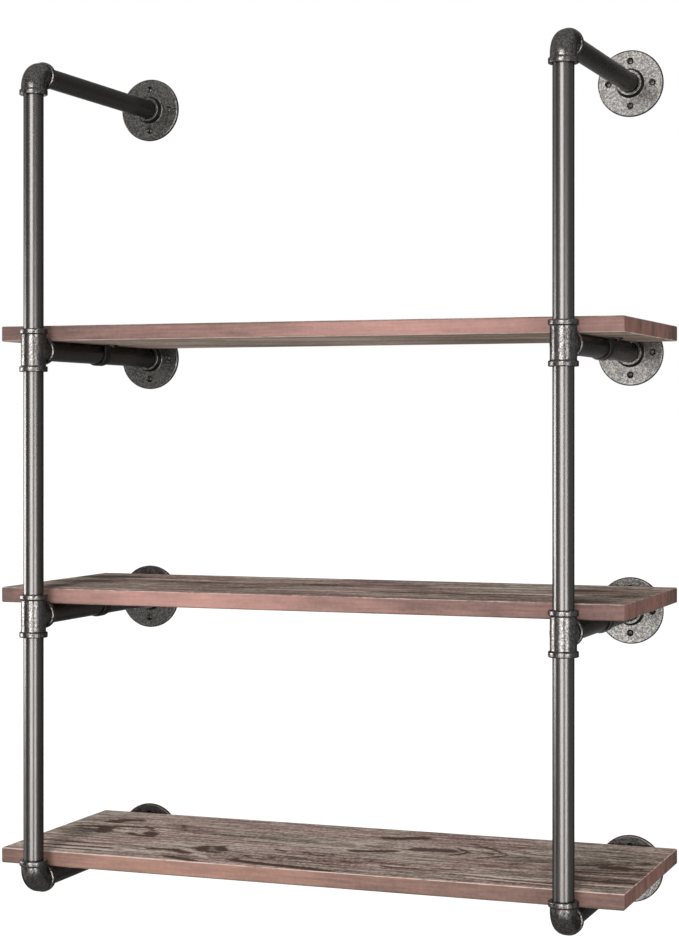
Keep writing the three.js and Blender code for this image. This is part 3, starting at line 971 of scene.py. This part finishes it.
# Red-brown stains on each board's top, as strokes in mm: half width, depth, and points (x, y).
BOARD_STAINS = {
    "bottom": (
        (9, 1.0, (-375, -100), (-362, -82), (-347, -80)), (7, 1.0, (-350, -131), (-322, -128)),
        (7, 1.0, (-404, -146), (-372, -138), (-360, -152), (-354, -180)),
        (3, 0.9, (-316, -116), (-300, -130), (-288, -150)), (6, 1.0, (-287, -158), (-276, -186)),
        (5, 0.9, (-312, -174), (-298, -183), (-284, -187)), (3, 0.6, (-268, -90), (-248, -130)),
        (6, 0.9, (-172, -227), (-152, -221), (-143, -244)),
        (6, 0.9, (-174, -234), (-166, -256), (-146, -257)),
        (7, 0.8, (-236, -266), (-202, -262), (-178, -276)), (7, 0.9, (-190, -307), (-150, -322)),
        (8, 1.0, (-98, -300), (-60, -309), (-18, -312), (36, -322)), (3, 0.8, (-104, -284), (-95, -298)),
        (3, 0.7, (-99, -262), (-84, -278)), (3, 0.7, (-76, -210), (-58, -222)),
        (3, 0.7, (-66, -254), (-52, -280)), (3, 0.7, (-34, -214), (-18, -228)),
        (10, 1.1, (46, -84), (66, -76), (85, -65)), (7, 1.3, (28, -186), (50, -179), (74, -169)),
        (11, 1.5, (108, -146), (140, -142)), (3, 0.7, (152, -118), (171, -138), (170, -153), (157, -168)),
        (4, 0.65, (160, -84), (188, -101), (213, -124), (228, -145), (198, -177)),
        (8, 1.0, (372, -178), (387, -169), (392, -184)), (5, 1.1, (332, -263), (380, -266), (430, -262)),
        (3, 0.7, (180, -258), (214, -252)), (3, 0.7, (92, -264), (110, -274), (146, -268)),
        (3, 0.6, (70, -246), (120, -252)), (2.5, 0.7, (190, -287), (250, -292), (330, -300)),
        (2.5, 0.6, (210, -305), (330, -311)), (3, 1.0, (-405, -258), (-330, -258)),
        (3, 1.0, (-400, -284), (-290, -280)), (3, 1.0, (-390, -304), (-300, -302)),
        (34, 0.36, (-110, -262), (20, -270)), (20, 0.32, (-20, -225), (60, -235)),
        (24, 0.3, (-330, -140), (-300, -150)), (16, 0.32, (-180, -240), (-140, -262)),
    ),
    "middle": (
        (10, 0.55, (-400, -98), (-350, -92)), (9, 0.5, (-290, -163), (-220, -158)),
        (6, 0.4, (-370, -190), (-350, -196)), (9, 0.5, (-40, -140), (0, -150)),
        (7, 0.5, (85, -238), (120, -234)), (6, 0.4, (110, -112), (150, -105)),
        (9, 0.5, (185, -238), (290, -218)), (8, 0.45, (310, -122), (350, -128)),
        (9, 0.5, (365, -195), (410, -190)), (5, 0.4, (150, -318), (200, -316)),
    ),
    "upper": (
        (9, 0.9, (-250, -122), (-190, -118)), (8, 0.8, (60, -232), (120, -228)),
        (7, 0.8, (290, -84), (335, -78)), (7, 0.7, (-380, -252), (-320, -248)),
        (6, 0.6, (0, -70), (44, -72)), (6, 0.7, (-90, -300), (-20, -304)),
        (5, 0.6, (200, -182), (240, -178)),
    ),
}
# Pale ribs that stand out of the brushed tops, drawn the same way.
BOARD_RIBS = {
    "bottom": (
        (2.6, 0.5, (-182, -264), (-164, -278), (-142, -297)), (4, 0.4, (-262, -286), (-222, -292)),
        (3, 0.4, (-345, -247), (-300, -246)), (3, 0.5, (-362, -270), (-290, -270)),
        (3, 0.5, (-410, -293), (-290, -294)), (3, 0.5, (200, -280), (330, -287)),
        (3, 0.5, (220, -298), (330, -305)), (5, 0.6, (372, -287), (430, -283)),
        (4, 0.4, (100, -262), (150, -258)), (4, 0.3, (170, -248), (230, -246)),
        (4, 0.3, (-60, -240), (-20, -250)), (4, 0.4, (350, -235), (425, -232)),
    ),
    "middle": (
        (7, 0.5, (-380, -110), (-220, -118)), (7, 0.5, (-100, -240), (60, -238)),
        (8, 0.5, (120, -120), (280, -112)), (8, 0.5, (200, -210), (330, -205)),
        (7, 0.5, (-200, -40), (-60, -44)),
    ),
    "upper": (
        (4, 0.5, (-300, -200), (-180, -206)), (4, 0.5, (40, -130), (200, -136)),
        (4, 0.5, (180, -270), (320, -262)),
    ),
}
STROKE_EDGE = 2.4  # how suddenly a stroke ends across its width
STROKE_PULL = 0.6  # strokes are drawn this much shorter along the grain, so their ends taper
# The stain on each board's edges: how warm it is, how pink it is in general, and where on the front
# edge it is pinker or less pink (x and half length in mm, and by how much); these stretches are
# partly stain and partly painted light and shade along the front edge.
BOARD_EDGES = {
    "bottom": (0.85, 0.12, (-170, 250, 0.42), (-425, 30, -0.25)),
    "middle": (0.25, 0.2, (-170, 230, 0.56), (-425, 30, -0.3)),
    "upper": (0.15, 0.2, (160, 220, 0.6), (-425, 30, -0.2)),
}
# How pale the top and the low arrises of each board are rubbed, with a painted highlight on them,
# and how dark the stain is beside them, which is partly painted shade.
BOARD_ARRISES = {
    "bottom": ((1.65, 0.0), (0.55, 0.3)),
    "middle": ((1.15, 0.0), (0.7, 0.1)),
    "upper": ((0.3, 0.9), (2.0, 0.0)),
}
# Centre of each board's arched figure (x, y), how fast its arches close to the left and to the right,
# and a number that moves the fine grain so that no two boards are alike.
BOARD_FIGURES = {
    "bottom": (134, -142, 0.04, 0.17, 0.0),
    "middle": (-120, -70, 0.05, 0.05, 3.1),
    "upper": (210, -260, 0.06, 0.14, 7.7),
}
# Darker areas of each board's faces, in mm: x, y, half length, half width and depth of the shade.
# Most are darker wood; those just behind the columns are painted shadows of the columns, partly over
# stain.
BOARD_DARKS_AND_SHADOWS = {
    "bottom": ((400, -170, 100, 120, 0.4), (400, -270, 80, 40, 0.2), (-378, -172, 30, 26, 0.5),
               (-60, -300, 200, 22, 0.06), (-130, -120, 120, 60, 0.06), (260, -150, 90, 120, 0.12)),
    "middle": ((0, -170, 1200, 900, 0.17), (-240, -160, 90, 14, 0.3), (-90, -150, 110, 12, 0.2),
               (-30, -140, 60, 22, 0.26), (-90, -232, 80, 14, 0.22), (110, -235, 40, 12, 0.3),
               (110, -118, 50, 16, 0.3), (235, -225, 75, 20, 0.28), (-378, -95, 40, 26, 1.2),
               (-362, -182, 42, 30, 0.8), (-372, -285, 16, 50, 0.6), (330, -120, 60, 20, 0.42),
               (400, -205, 40, 35, 0.65), (372, -298, 26, 40, 0.75), (150, -314, 90, 8, 0.25),
               (-250, -270, 70, 12, -0.1), (50, -187, 60, 14, -0.1), (60, -272, 60, 12, -0.1)),
    "upper": ((0, -170, 1200, 900, 0.06), (-200, -150, 120, 16, 0.25), (60, -90, 140, 14, 0.22),
              (180, -210, 100, 18, 0.25), (-90, -250, 110, 12, 0.22)),
}
# The same for the undersides: darker towards the right, and a painted shade line along the front,
# just behind the low arris.
UNDER_SHADES = ((340, -170, 140, 600, 0.34), (0, -326, 1200, 26, 0.3))
THROUGH_SLOPE = 0.55  # growth crossed per mm of depth, which sets the lines on the sawn edges
KNOT_DEPTH = 6  # mm, how far down from the top the grain still parts round the knots
KNOT_REACH = (1.8, 3.2)  # how far it parts along and across, in half lengths and half widths of a knot
FACE_DEPTH = 3  # mm, how far down from a face its marks still show
DARK_ARRIS = 1.4  # mm, half width of the darker line beside an arris, which is stain and painted shade
END_RUB_AND_HIGHLIGHT = 0.6  # how much the arrises of the ends are rubbed, with their painted highlight, as a share of the front ones
UNDER_SHADE = 0.9  # depth of the long darker bands on a board's underside
UNDER_SPACING = 90.0  # mm, from one of them to the next
UNDER_STRETCH = 0.3  # how fast they change along the grain, as a share of how fast across it
MESH_UP = 4.0  # mm, height of the faces on a board's edges
ARRIS_MARGINS = (0.8, 1.8, 3.2)  # mm, from an arris to the extra cuts beside it
WEAR_SPACING = 26  # mm, from one worn place of an arris to the next
WEAR_SHARES = (0.4, 1, 1)  # of the wear of an arris, on the ends, the front and the top


def growth_at(points, level, top):
    """Growth in mm at points in mm: rings about the figure's centre, opened round the knots."""
    x, y, z = points[:, 0], points[:, 1].copy(), points[:, 2]
    near_top = np.clip((z - top + KNOT_DEPTH) / KNOT_DEPTH, 0, 1)
    for knot_x, knot_y, along, across, opening in BOARD_KNOTS[level]:
        reach_x, reach_y = KNOT_REACH[0] * along, KNOT_REACH[1] * across
        away = ((x - knot_x) / reach_x) ** 2 + ((y - knot_y) / reach_y) ** 2
        y -= opening * (y - knot_y) / across * np.exp(-away) * near_top
    centre_x, centre_y, slope_left, slope_right, _ = BOARD_FIGURES[level]
    slope = np.where(x < centre_x, slope_left, slope_right)
    # The grain wanders in three waves, each with its height and its length in mm.
    wander = 3 * np.sin(x / 150 + 0.7) + 1.2 * np.sin(x / 47 + centre_y) + 0.5 * np.sin(x / 19)
    ring = np.hypot(y - centre_y + wander, slope * (x - centre_x))
    return ring + THROUGH_SLOPE * (top - z)


def strokes_at(points, strokes):
    """The depth of the deepest stroke at points in mm, 0 where there is none."""
    place = points[:, :2] * (STROKE_PULL, 1.0)
    depth = np.zeros(len(points))
    for half_width, most, *stops in strokes:
        stops = np.array(stops) * (STROKE_PULL, 1.0)
        gap = np.full(len(points), np.inf)
        for start, end in zip(stops[:-1], stops[1:]):
            run = end - start
            share = np.clip(((place - start) @ run) / (run @ run), 0, 1)
            gap = np.minimum(gap, np.linalg.norm(place - start - share[:, None] * run, axis=1))
        depth = np.maximum(depth, most * np.exp(-(gap / half_width) ** STROKE_EDGE))
    return depth


def shade_at(points, shades):
    """How much darker the wood is at points in mm."""
    total = np.zeros(len(points))
    for x, y, along, across, depth in shades:
        away = ((points[:, 0] - x) / along) ** 2 + ((points[:, 1] - y) / across) ** 2
        total += depth * np.exp(-away)
    return total


def pink_at(points, low, high, level):
    """How pink the edges are at points in mm: their stain, with painted light and shade in stretches
    along the front, and less at an arris darkened by stain and painted shade.
    """
    _, even, *stretches = BOARD_EDGES[level]
    pink = np.full(len(points), even)
    for x, along, most in stretches:
        pink += most * np.exp(-((points[:, 0] - x) / along) ** 2)
    for height, (_, dark) in zip((high[2], low[2]), BOARD_ARRISES[level]):
        pink -= dark * np.exp(-((points[:, 2] - height) / DARK_ARRIS) ** 2)
    return pink


def rubbed_and_highlit_at(points, low, high, band, level):
    """How pale points are made, by rubbing and a painted highlight: most on a level arris and 0 away from
    it.
    """
    gaps = np.minimum(points - low, high - points)
    away = np.maximum(gaps[:, 2], gaps[:, :2].min(axis=1))
    (top_pale, _), (low_pale, _) = BOARD_ARRISES[level]
    rubbed_and_highlit = np.where(points[:, 2] > (low[2] + high[2]) / 2, top_pale, low_pale)
    rubbed_and_highlit[gaps[:, 0] < gaps[:, 1]] *= END_RUB_AND_HIGHLIGHT
    return rubbed_and_highlit * np.exp(-(away / band) ** 2)


def board_mesh(settings, level):
    """A board with worn arrises, and its growth, stain, shade and wear stored on its points; the shade
    holds painted shadows and the wear a painted highlight on the arrises.
    """
    low, high, _ = node_box(f"{level}_board")
    low, high = np.array(low) / MM, np.array(high) / MM
    arris = settings.arris / MM
    spacing = (settings.mesh_along / MM, settings.mesh_across / MM, MESH_UP)
    cuts = [axis_cuts(low[i], high[i], spacing[i], arris, ARRIS_MARGINS) for i in range(3)]
    points, faces = block_mesh(cuts)
    rubbed_and_highlit = rubbed_and_highlit_at(points, low, high, settings.pale_band / MM, level)
    points, on_edge = round_arrises(points, low, high, arris)
    on_top = np.clip((points[:, 2] - high[2] + FACE_DEPTH) / FACE_DEPTH, 0, 1)
    under = np.clip((low[2] + FACE_DEPTH - points[:, 2]) / FACE_DEPTH, 0, 1)
    uneven = waves(points * (UNDER_STRETCH, 1, 1), UNDER_SPACING, 9 + len(level)) - 0.5
    # Shade on the tops: darker wood, and painted shadows of the columns just behind them.
    shade = (shade_at(points, BOARD_DARKS_AND_SHADOWS[level]) - strokes_at(points, BOARD_RIBS[level])) * on_top
    # On the undersides: long darker bands, darker towards the right, and the painted shade line behind
    # the front arris.
    shade += (shade_at(points, UNDER_SHADES) + UNDER_SHADE * uneven) * under
    values = {
        "growth": growth_at(points, level, high[2]) * MM + BOARD_FIGURES[level][-1],
        "stain": strokes_at(points, BOARD_STAINS[level]) * on_top,
        "shade": shade,
        # pink: the edges' stain, with painted light and shade in it.
        "pink": pink_at(points, low, high, level),
        "warm": np.full(len(points), BOARD_EDGES[level][0]),
        # wear: the pale rubbing of the arrises, with a painted highlight on them.
        "wear": rubbed_and_highlit,
    }
    middle = (low + high) / 2
    wear = on_edge * waves(points, WEAR_SPACING, len(level)) * settings.arris_wander / MM
    inward = np.sign(middle - points) * (np.abs(points - middle) > (high - low) / 2 - arris - 0.01)
    mesh = mesh_from(f"{level}_board", (points + inward * wear[:, None] * WEAR_SHARES) * MM, faces)
    for name, numbers in values.items():
        layer = mesh.attributes.new(name, "FLOAT", "POINT")
        layer.data.foreach_set("value", np.asarray(numbers, dtype=np.float32))
    smooth(mesh, 60)
    return mesh


def with_patterns(add, value, shares):
    """A value with patterns added to it, each by its share and centred on 0."""
    for pattern, share in shares:
        centred = add("ShaderNodeMath", (pattern, share, -share / 2), operation="MULTIPLY_ADD")
        value = add("ShaderNodeMath", (value, centred), operation="ADD")
    return value


def board_wood(settings):
    # Knotty softwood, wire-brushed and limed on its faces, with a reddish stain on its sawn
    # edges: silver-grey streaks over dark ones, red-brown patches where the lime was rubbed off.
    # Light and shade are painted in too: shadows of the columns on the tops, a highlight and shade
    # along the arrises, lighter and darker stretches on the front edges and a lighter underside.
    material, add = new_material("weathered_pine_board")
    if add is None:
        return material
    place = add("ShaderNodeTexCoord", output="Object")
    along, across, up = (add("ShaderNodeSeparateXYZ", (place,), output=axis) for axis in "XYZ")
    growth, stain, shade, pink, warm, wear = (
        add("ShaderNodeAttribute", output="Fac", attribute_name=name)
        for name in ("growth", "stain", "shade", "pink", "warm", "wear")
    )
    # Points (along, growth, across): a pattern on these follows the grain round the knots.
    drift = add("ShaderNodeMath", (across, 0.35), operation="MULTIPLY")
    grain = add("ShaderNodeCombineXYZ", (along, growth, drift))
    sawn = add("ShaderNodeCombineXYZ", (along, up, across))
    ends = add("ShaderNodeCombineXYZ", (up, across, along))
    # Patterns: points, how much they are stretched along the grain, scale, detail and roughness.
    smudges, lines, streaks, hairs, nicks, saw_marks, blotches, stripes, flecks = (
        add("ShaderNodeTexNoise", (
            add("ShaderNodeVectorMath", (points, (stretch, 1.0, 1.0)), operation="MULTIPLY"),
            scale, detail, rough,
        ), output="Fac")
        for points, stretch, scale, detail, rough in (
            (grain, 0.4, 1 / settings.smudge_spacing, 2.0, 0.5),
            (grain, 0.05, 1 / settings.line_spacing, 3.0, 0.6),
            (grain, 0.18, 1 / settings.streak_spacing, 3.0, 0.6),
            (grain, 0.2, per_metre(3.4), 2.0, 0.6),
            (place, 1.2, per_metre(5.5), 3.0, 0.6),
            (sawn, 0.06, per_metre(3.6), 2.0, 0.6),
            (sawn, 0.45, per_metre(26.0), 4.0, 0.65),
            (ends, 0.3, per_metre(15.0), 4.0, 0.65),
            (place, 1.0, per_metre(16.0), 3.0, 0.6),
        )
    )
    # Rings: a sawtooth in growth that darkens slowly and ends sharply, as late wood does.
    rings = (growth, 1 / settings.ring_spacing, smudges)
    turns = add("ShaderNodeMath", rings, operation="MULTIPLY_ADD")
    phase = add("ShaderNodeMath", (turns,), operation="FRACT")
    # Tone: 0 is the darkest groove and 1 the palest rib of the brushed face.
    # The stored shade darkens the tone: darker wood, and in places painted shadow and shade.
    tone = add("ShaderNodeMath", (-0.05, shade), operation="SUBTRACT")
    for pattern, low, high, share in (
        (smudges, 0.35, 0.65, 0.16), (lines, 0.4, 0.6, 0.34), (streaks, 0.38, 0.62, 0.3),
        (hairs, 0.38, 0.62, 0.23), (nicks, 0.36, 0.64, 0.34), (phase, 0.6, 0.95, -0.28),
    ):
        mapped = add("ShaderNodeMapRange", (pattern, low, high, 0.0, share))
        tone = add("ShaderNodeMath", (tone, mapped), operation="ADD")
    # Red-brown patches, with their edges torn along the streaks.
    torn = with_patterns(add, stain, ((streaks, -0.8), (nicks, -0.7), (hairs, -0.4)))
    # The sawn edges: a reddish stain, browner in stretches, with soft blotches and saw marks.
    edge_tone = with_patterns(add, pink, ((saw_marks, 0.62), (blotches, 0.6), (nicks, 0.3)))
    normal = add("ShaderNodeNewGeometry", output="Normal")
    below = add("ShaderNodeSeparateXYZ", (normal,), output="Z")
    flatness = add("ShaderNodeVectorMath", (normal,), operation="ABSOLUTE")
    endwise, upright = (add("ShaderNodeSeparateXYZ", (flatness,), output=axis) for axis in "XZ")
    # The sawn ends: upright stripes, darker towards the wall.
    far = add("ShaderNodeMapRange", (across, -110 * MM, -10 * MM, 0.0, 0.3))
    nearer = add("ShaderNodeMath", (stripes, far), operation="SUBTRACT")
    # Pale along the arrises, rubbed bare and with a painted highlight, broken up along their length.
    rubbed_and_highlit = add("ShaderNodeMath", (wear, flecks), operation="MULTIPLY")
    # Factors: a value, where it starts and ends to count, and the factor at either end.
    lower, upper, greyness, stained, covered, on_under, on_end, on_face, end_tone, rubbed_highlit_share = (
        add("ShaderNodeMapRange", values) for values in (
            (tone, 0.0, 0.5), (tone, 0.5, 1.0), (smudges, 0.4, 0.6), (torn, 0.16, 0.62, 0.0, 0.92),
            (stain, 0.02, 0.25), (below, -0.5, -0.8, 0.0, 0.32), (endwise, 0.6, 0.9, 0.0, 0.8),
            (upright, 0.45, 0.85), (nearer, 0.24, 0.66), (rubbed_and_highlit, 0.3, 0.62, 0.0, 0.9),
        )
    )
    patch = add("ShaderNodeMath", (stained, covered), operation="MULTIPLY")
    # Colours, each laid over the one before by a factor.
    colours = {}
    for name, factor, first, second in (
        ("body", greyness, settings.brown, settings.grey),
        ("grooved", lower, settings.groove, "body"),
        ("brushed", upper, "grooved", settings.weathered),
        ("top", patch, "brushed", settings.stain),
        # The underside's colour: unlimed wood, lightened as painted light from below.
        ("face", on_under, "top", settings.under),
        ("stained_edge", warm, settings.edge_pink, settings.edge_tan),
        ("edge", edge_tone, settings.edge_brown, "stained_edge"),
        ("end", end_tone, settings.end_dark, settings.end_grain),
        ("side", on_end, "edge", "end"),
        ("wood", on_face, "side", "face"),
        # The pale arrises: rubbed wood and a painted highlight.
        ("tint", rubbed_highlit_share, "wood", settings.edge_pale),
    ):
        first, second = (colours[c] if isinstance(c, str) else c for c in (first, second))
        colours[name] = add("ShaderNodeMix", (factor, first, second), data_type="RGBA")
    bump = add("ShaderNodeBump", {"Height": tone, "Strength": 0.8, "Distance": 0.5 * MM})
    shader = add("ShaderNodeBsdfPrincipled", {
        "Base Color": colours["tint"], "Roughness": 0.78, "Specular IOR Level": 0.06, "Normal": bump,
    })
    add("ShaderNodeOutputMaterial", {"Surface": shader})
    return material


class SHELF_OT_boards(bpy.types.Operator):
    """Makes the three boards"""

    bl_idname = "shelf.boards"
    bl_label = "Boards"

    def execute(self, context):
        settings = context.scene.shelf_boards
        finish = board_wood(settings)
        for level in BOARD_LEVELS:
            mesh = board_mesh(settings, level)
            add_piece(f"wood_{level}_board", mesh, finish, [f"{level}_board"])
        return {"FINISHED"}


# The photograph's view: the camera stands level, turned 20.5 degrees about the unit, and is
# shifted down so that the uprights stay parallel. Places are in metres, lengths of the lens in mm.
CAMERA_PLACE = (1.0422, -2.9563, 0.6027)
CAMERA_TURN = 20.51
CAMERA_LENS = 84.18
CAMERA_SENSOR = 36.0
CAMERA_SHIFT = -0.0442
STAGE_CENTRE = (0.0, -0.36)
FLOOR_HALF = 60.0
FLOOR_GLOW = 0.28  # lifts the lit floor to white and leaves the shadow on it
KEY_SPREAD = 14  # degrees, the apparent size of the lamp
KEY_TURN = (47, 0, 7)  # degrees
# Softboxes: azimuth from the front towards +X in degrees, height of the centre, width and height.
SOFTBOX_DISTANCE = 6.5
SOFTBOXES = {
    "front": (1, 0.8, 3.6, 4.4), "right": (45.5, -0.28, 2.5, 2.45), "left": (-87, 0.28, 3.4, 1.45),
}
FLAG_RADIUS = 2.3
FLAG_STATIONS = 12
FLAG_TOP = 2.8
FLAG_GAP = 0.02  # from the floor up to the tall flags
# Upright flags and cards: the setting of their radiance, azimuths, and heights, or None for a
# tall flag.
UPRIGHT_FLAGS = {
    "right_flag": ("right_flag", (76, 130), None),
    "black_flag": ("black_flag", (130, 162), None),
    "back_flag": ("back_flag", (162, 214), None),
    "front_card": ("low_card", (-13, 15), (-1.5, -0.6)),
    "right_card": ("low_card", (37, 54), (-1.5, -0.6)),
    "left_flag": ("left_flag", (-64, -42), (-1.0, 2.3)),
}
# Flags that lie below the unit: radius, how far round they go in degrees, and height.
LOW_FLAGS = {"low_flag": (0.9, 348, -0.45), "low_back_flag": (1.9, 180, -0.47)}
LOW_FLAG_STEPS = 30
DRILL_GAP = 0.4 * MM  # the discs stand this far behind the wall's plane
DRILL_RADIUS = 3.2 * MM
DRILL_SIDES = 16


def add_camera():
    data = bpy.data.cameras.new("camera")
    data.lens = CAMERA_LENS
    data.sensor_width = CAMERA_SENSOR
    data.shift_y = CAMERA_SHIFT
    camera = add_object("camera", data)
    camera.location = CAMERA_PLACE
    camera.rotation_euler = (math.pi / 2, 0.0, math.radians(CAMERA_TURN))
    bpy.context.scene.camera = camera


def white_to_eye(add, seen, other):
    """`seen` for camera, glossy and transmission rays, and `other` for the rest."""
    camera, glossy, through = (
        add("ShaderNodeLightPath", output=f"Is {ray} Ray")
        for ray in ("Camera", "Glossy", "Transmission")
    )
    direct = add("ShaderNodeMath", (camera, glossy), operation="MAXIMUM")
    any_seen = add("ShaderNodeMath", (direct, through), operation="MAXIMUM")
    return add("ShaderNodeMix", (any_seen, other, seen), data_type="FLOAT")


def white_room(ambient):
    """A room that looks white and lights the object evenly."""
    world = bpy.data.worlds.new("white_room")
    world.use_nodes = True
    world.node_tree.nodes.clear()
    add = partial(add_node, world.node_tree)
    strength = white_to_eye(add, 1.0, ambient)
    room = add("ShaderNodeBackground", {"Color": (1.0, 1.0, 1.0, 1.0), "Strength": strength})
    add("ShaderNodeOutputWorld", {"Surface": room})
    bpy.context.scene.world = world


def plain_material(name, shader_node, inputs):
    """A material of one shader."""
    material, add = new_material(name)
    add("ShaderNodeOutputMaterial", {"Surface": add(shader_node, inputs)})
    return material


def add_backdrop(name, points, faces, material, hidden_from=()):
    """Adds a part of the stage."""
    part = add_object(name, mesh_from(name, points, faces))
    part.data.materials.append(material)
    for ray in hidden_from:
        setattr(part, f"visible_{ray}", False)


def add_floor(drop):
    material, add = new_material("pale_floor")
    paint = add("ShaderNodeBsdfDiffuse", {"Color": linear("#efeeec")})
    glow = add("ShaderNodeEmission", {"Strength": white_to_eye(add, FLOOR_GLOW, 0.0)})
    both = add("ShaderNodeAddShader", (paint, glow))
    add("ShaderNodeOutputMaterial", {"Surface": both})
    corners = [(x * FLOOR_HALF, y * FLOOR_HALF, -drop) for x, y in ((-1, -1), (1, -1), (1, 1), (-1, 1))]
    add_backdrop("floor", corners, [(0, 1, 2, 3)], material)


def add_key(strength):
    """A broad soft lamp high in front. It is left out of reflections, which show the softboxes."""
    data = bpy.data.lights.new("key", "SUN")
    data.energy = strength
    data.angle = math.radians(KEY_SPREAD)
    key = add_object("key", data)
    key.rotation_euler = [math.radians(turn) for turn in KEY_TURN]
    key.visible_glossy = False
    key.visible_camera = False


def round_stage(distance, turn):
    """The place at a distance from the stage's centre, turned from the front towards +X."""
    return STAGE_CENTRE[0] + distance * math.sin(turn), STAGE_CENTRE[1] - distance * math.cos(turn)


def add_softbox(name, azimuth, level, width, height, radiance):
    """A softbox that shows in reflections only."""
    data = bpy.data.lights.new(name, "AREA")
    data.shape = "RECTANGLE"
    data.size, data.size_y = width, height
    data.energy = radiance * math.pi * width * height
    box = add_object(name, data)
    turn = math.radians(azimuth)
    box.location = (*round_stage(SOFTBOX_DISTANCE, turn), level)
    box.rotation_euler = (math.pi / 2, 0.0, turn)
    box.visible_camera = False
    box.visible_diffuse = False


def add_flag(name, points, faces, radiance):
    """A flag that only reflections show."""
    cloth = plain_material(f"{name}_cloth", "ShaderNodeEmission", {"Strength": radiance})
    hidden_from = ("camera", "diffuse", "transmission", "volume_scatter", "shadow")
    add_backdrop(name, points, faces, cloth, hidden_from)


def add_upright_flag(name, azimuths, heights, radiance):
    """A curved upright flag."""
    turns = np.radians(np.linspace(*azimuths, FLAG_STATIONS))
    points = [(*round_stage(FLAG_RADIUS, turn), height) for turn in turns for height in heights]
    faces = [(i, i + 2, i + 3, i + 1) for i in range(0, len(points) - 2, 2)]
    add_flag(name, points, faces, radiance)


def add_low_flag(name, radius, sweep, height, radiance):
    """A disc below the unit, or the part of it within `sweep` degrees."""
    rim = arc(STAGE_CENTRE, radius, 0, sweep, LOW_FLAG_STEPS)
    add_flag(name, [(x, y, height) for x, y in rim], [tuple(range(len(rim)))], radiance)


def add_drill_holes(settings):
    """Small grey discs in the wall's place, which show through the flanges' screw holes."""
    points, faces = [], []
    for side in SIDES:
        for level in ARM_LEVELS:
            _, high, centre = node_box(f"{side}_{level}_flange")
            ring = arc((centre.x, centre.z), hole_circle(settings), 0, 360, settings.holes)
            for hole in ring[:-1]:
                faces.append(tuple(range(len(points), len(points) + DRILL_SIDES)))
                rim = arc(hole, DRILL_RADIUS, 0, 360, DRILL_SIDES)
                points += [(x, high.y + DRILL_GAP, z) for x, z in rim[:-1]]
    grey = plain_material("unlit_hole", "ShaderNodeBsdfDiffuse", {"Color": linear("#c4c1bd")})
    add_backdrop("drill_holes", points, faces, grey)


class SHELF_OT_stage(bpy.types.Operator):
    """Makes the floor, the light and the camera"""

    bl_idname = "shelf.stage"
    bl_label = "Stage"

    def execute(self, context):
        settings = context.scene.shelf_stage
        context.scene.view_settings.view_transform = "Standard"
        add_camera()
        white_room(settings.ambient)
        add_floor(settings.floor_drop)
        add_key(settings.key)
        for name, sizes in SOFTBOXES.items():
            add_softbox(f"{name}_softbox", *sizes, getattr(settings, f"{name}_box"))
        tall = (FLAG_GAP - settings.floor_drop, FLAG_TOP)
        for name, (radiance, azimuths, heights) in UPRIGHT_FLAGS.items():
            add_upright_flag(name, azimuths, heights or tall, getattr(settings, radiance))
        for name, sizes in LOW_FLAGS.items():
            add_low_flag(name, *sizes, getattr(settings, name))
        add_drill_holes(context.scene.shelf_flanges)
        return {"FINISHED"}


OPERATORS = (
    SHELF_OT_pipes,
    SHELF_OT_elbows,
    SHELF_OT_tees,
    SHELF_OT_flanges,
    SHELF_OT_straps,
    SHELF_OT_strap_screws,
    SHELF_OT_boards,
    SHELF_OT_stage,
)


class SHELF_PT_panel(bpy.types.Panel):
    """Lists the makers of the pieces"""

    bl_label = "Pipe Shelving Unit"
    bl_space_type = "VIEW_3D"
    bl_region_type = "UI"
    bl_category = "Shelving"

    def draw(self, context):
        for operator in OPERATORS:
            self.layout.operator(operator.bl_idname)


SETTINGS = {
    "shelf_pipes": PipeSettings,
    "shelf_fittings": FittingSettings,
    "shelf_flanges": FlangeSettings,
    "shelf_straps": StrapSettings,
    "shelf_screws": ScrewSettings,
    "shelf_boards": BoardSettings,
    "shelf_stage": StageSettings,
}


def register():
    for made in (*SETTINGS.values(), *OPERATORS, SHELF_PT_panel):
        bpy.utils.register_class(made)
    for name, group in SETTINGS.items():
        setattr(bpy.types.Scene, name, PointerProperty(type=group))


def unregister():
    for name in SETTINGS:
        delattr(bpy.types.Scene, name)
    for made in (SHELF_PT_panel, *reversed(OPERATORS), *SETTINGS.values()):
        bpy.utils.unregister_class(made)


def main():
    register()
    bpy.ops.shelf.stage()
    bpy.ops.shelf.pipes()
    bpy.ops.shelf.elbows()
    bpy.ops.shelf.tees()
    bpy.ops.shelf.flanges()
    bpy.ops.shelf.straps()
    bpy.ops.shelf.strap_screws()
    bpy.ops.shelf.boards()


if __name__ == "__main__":
    main()
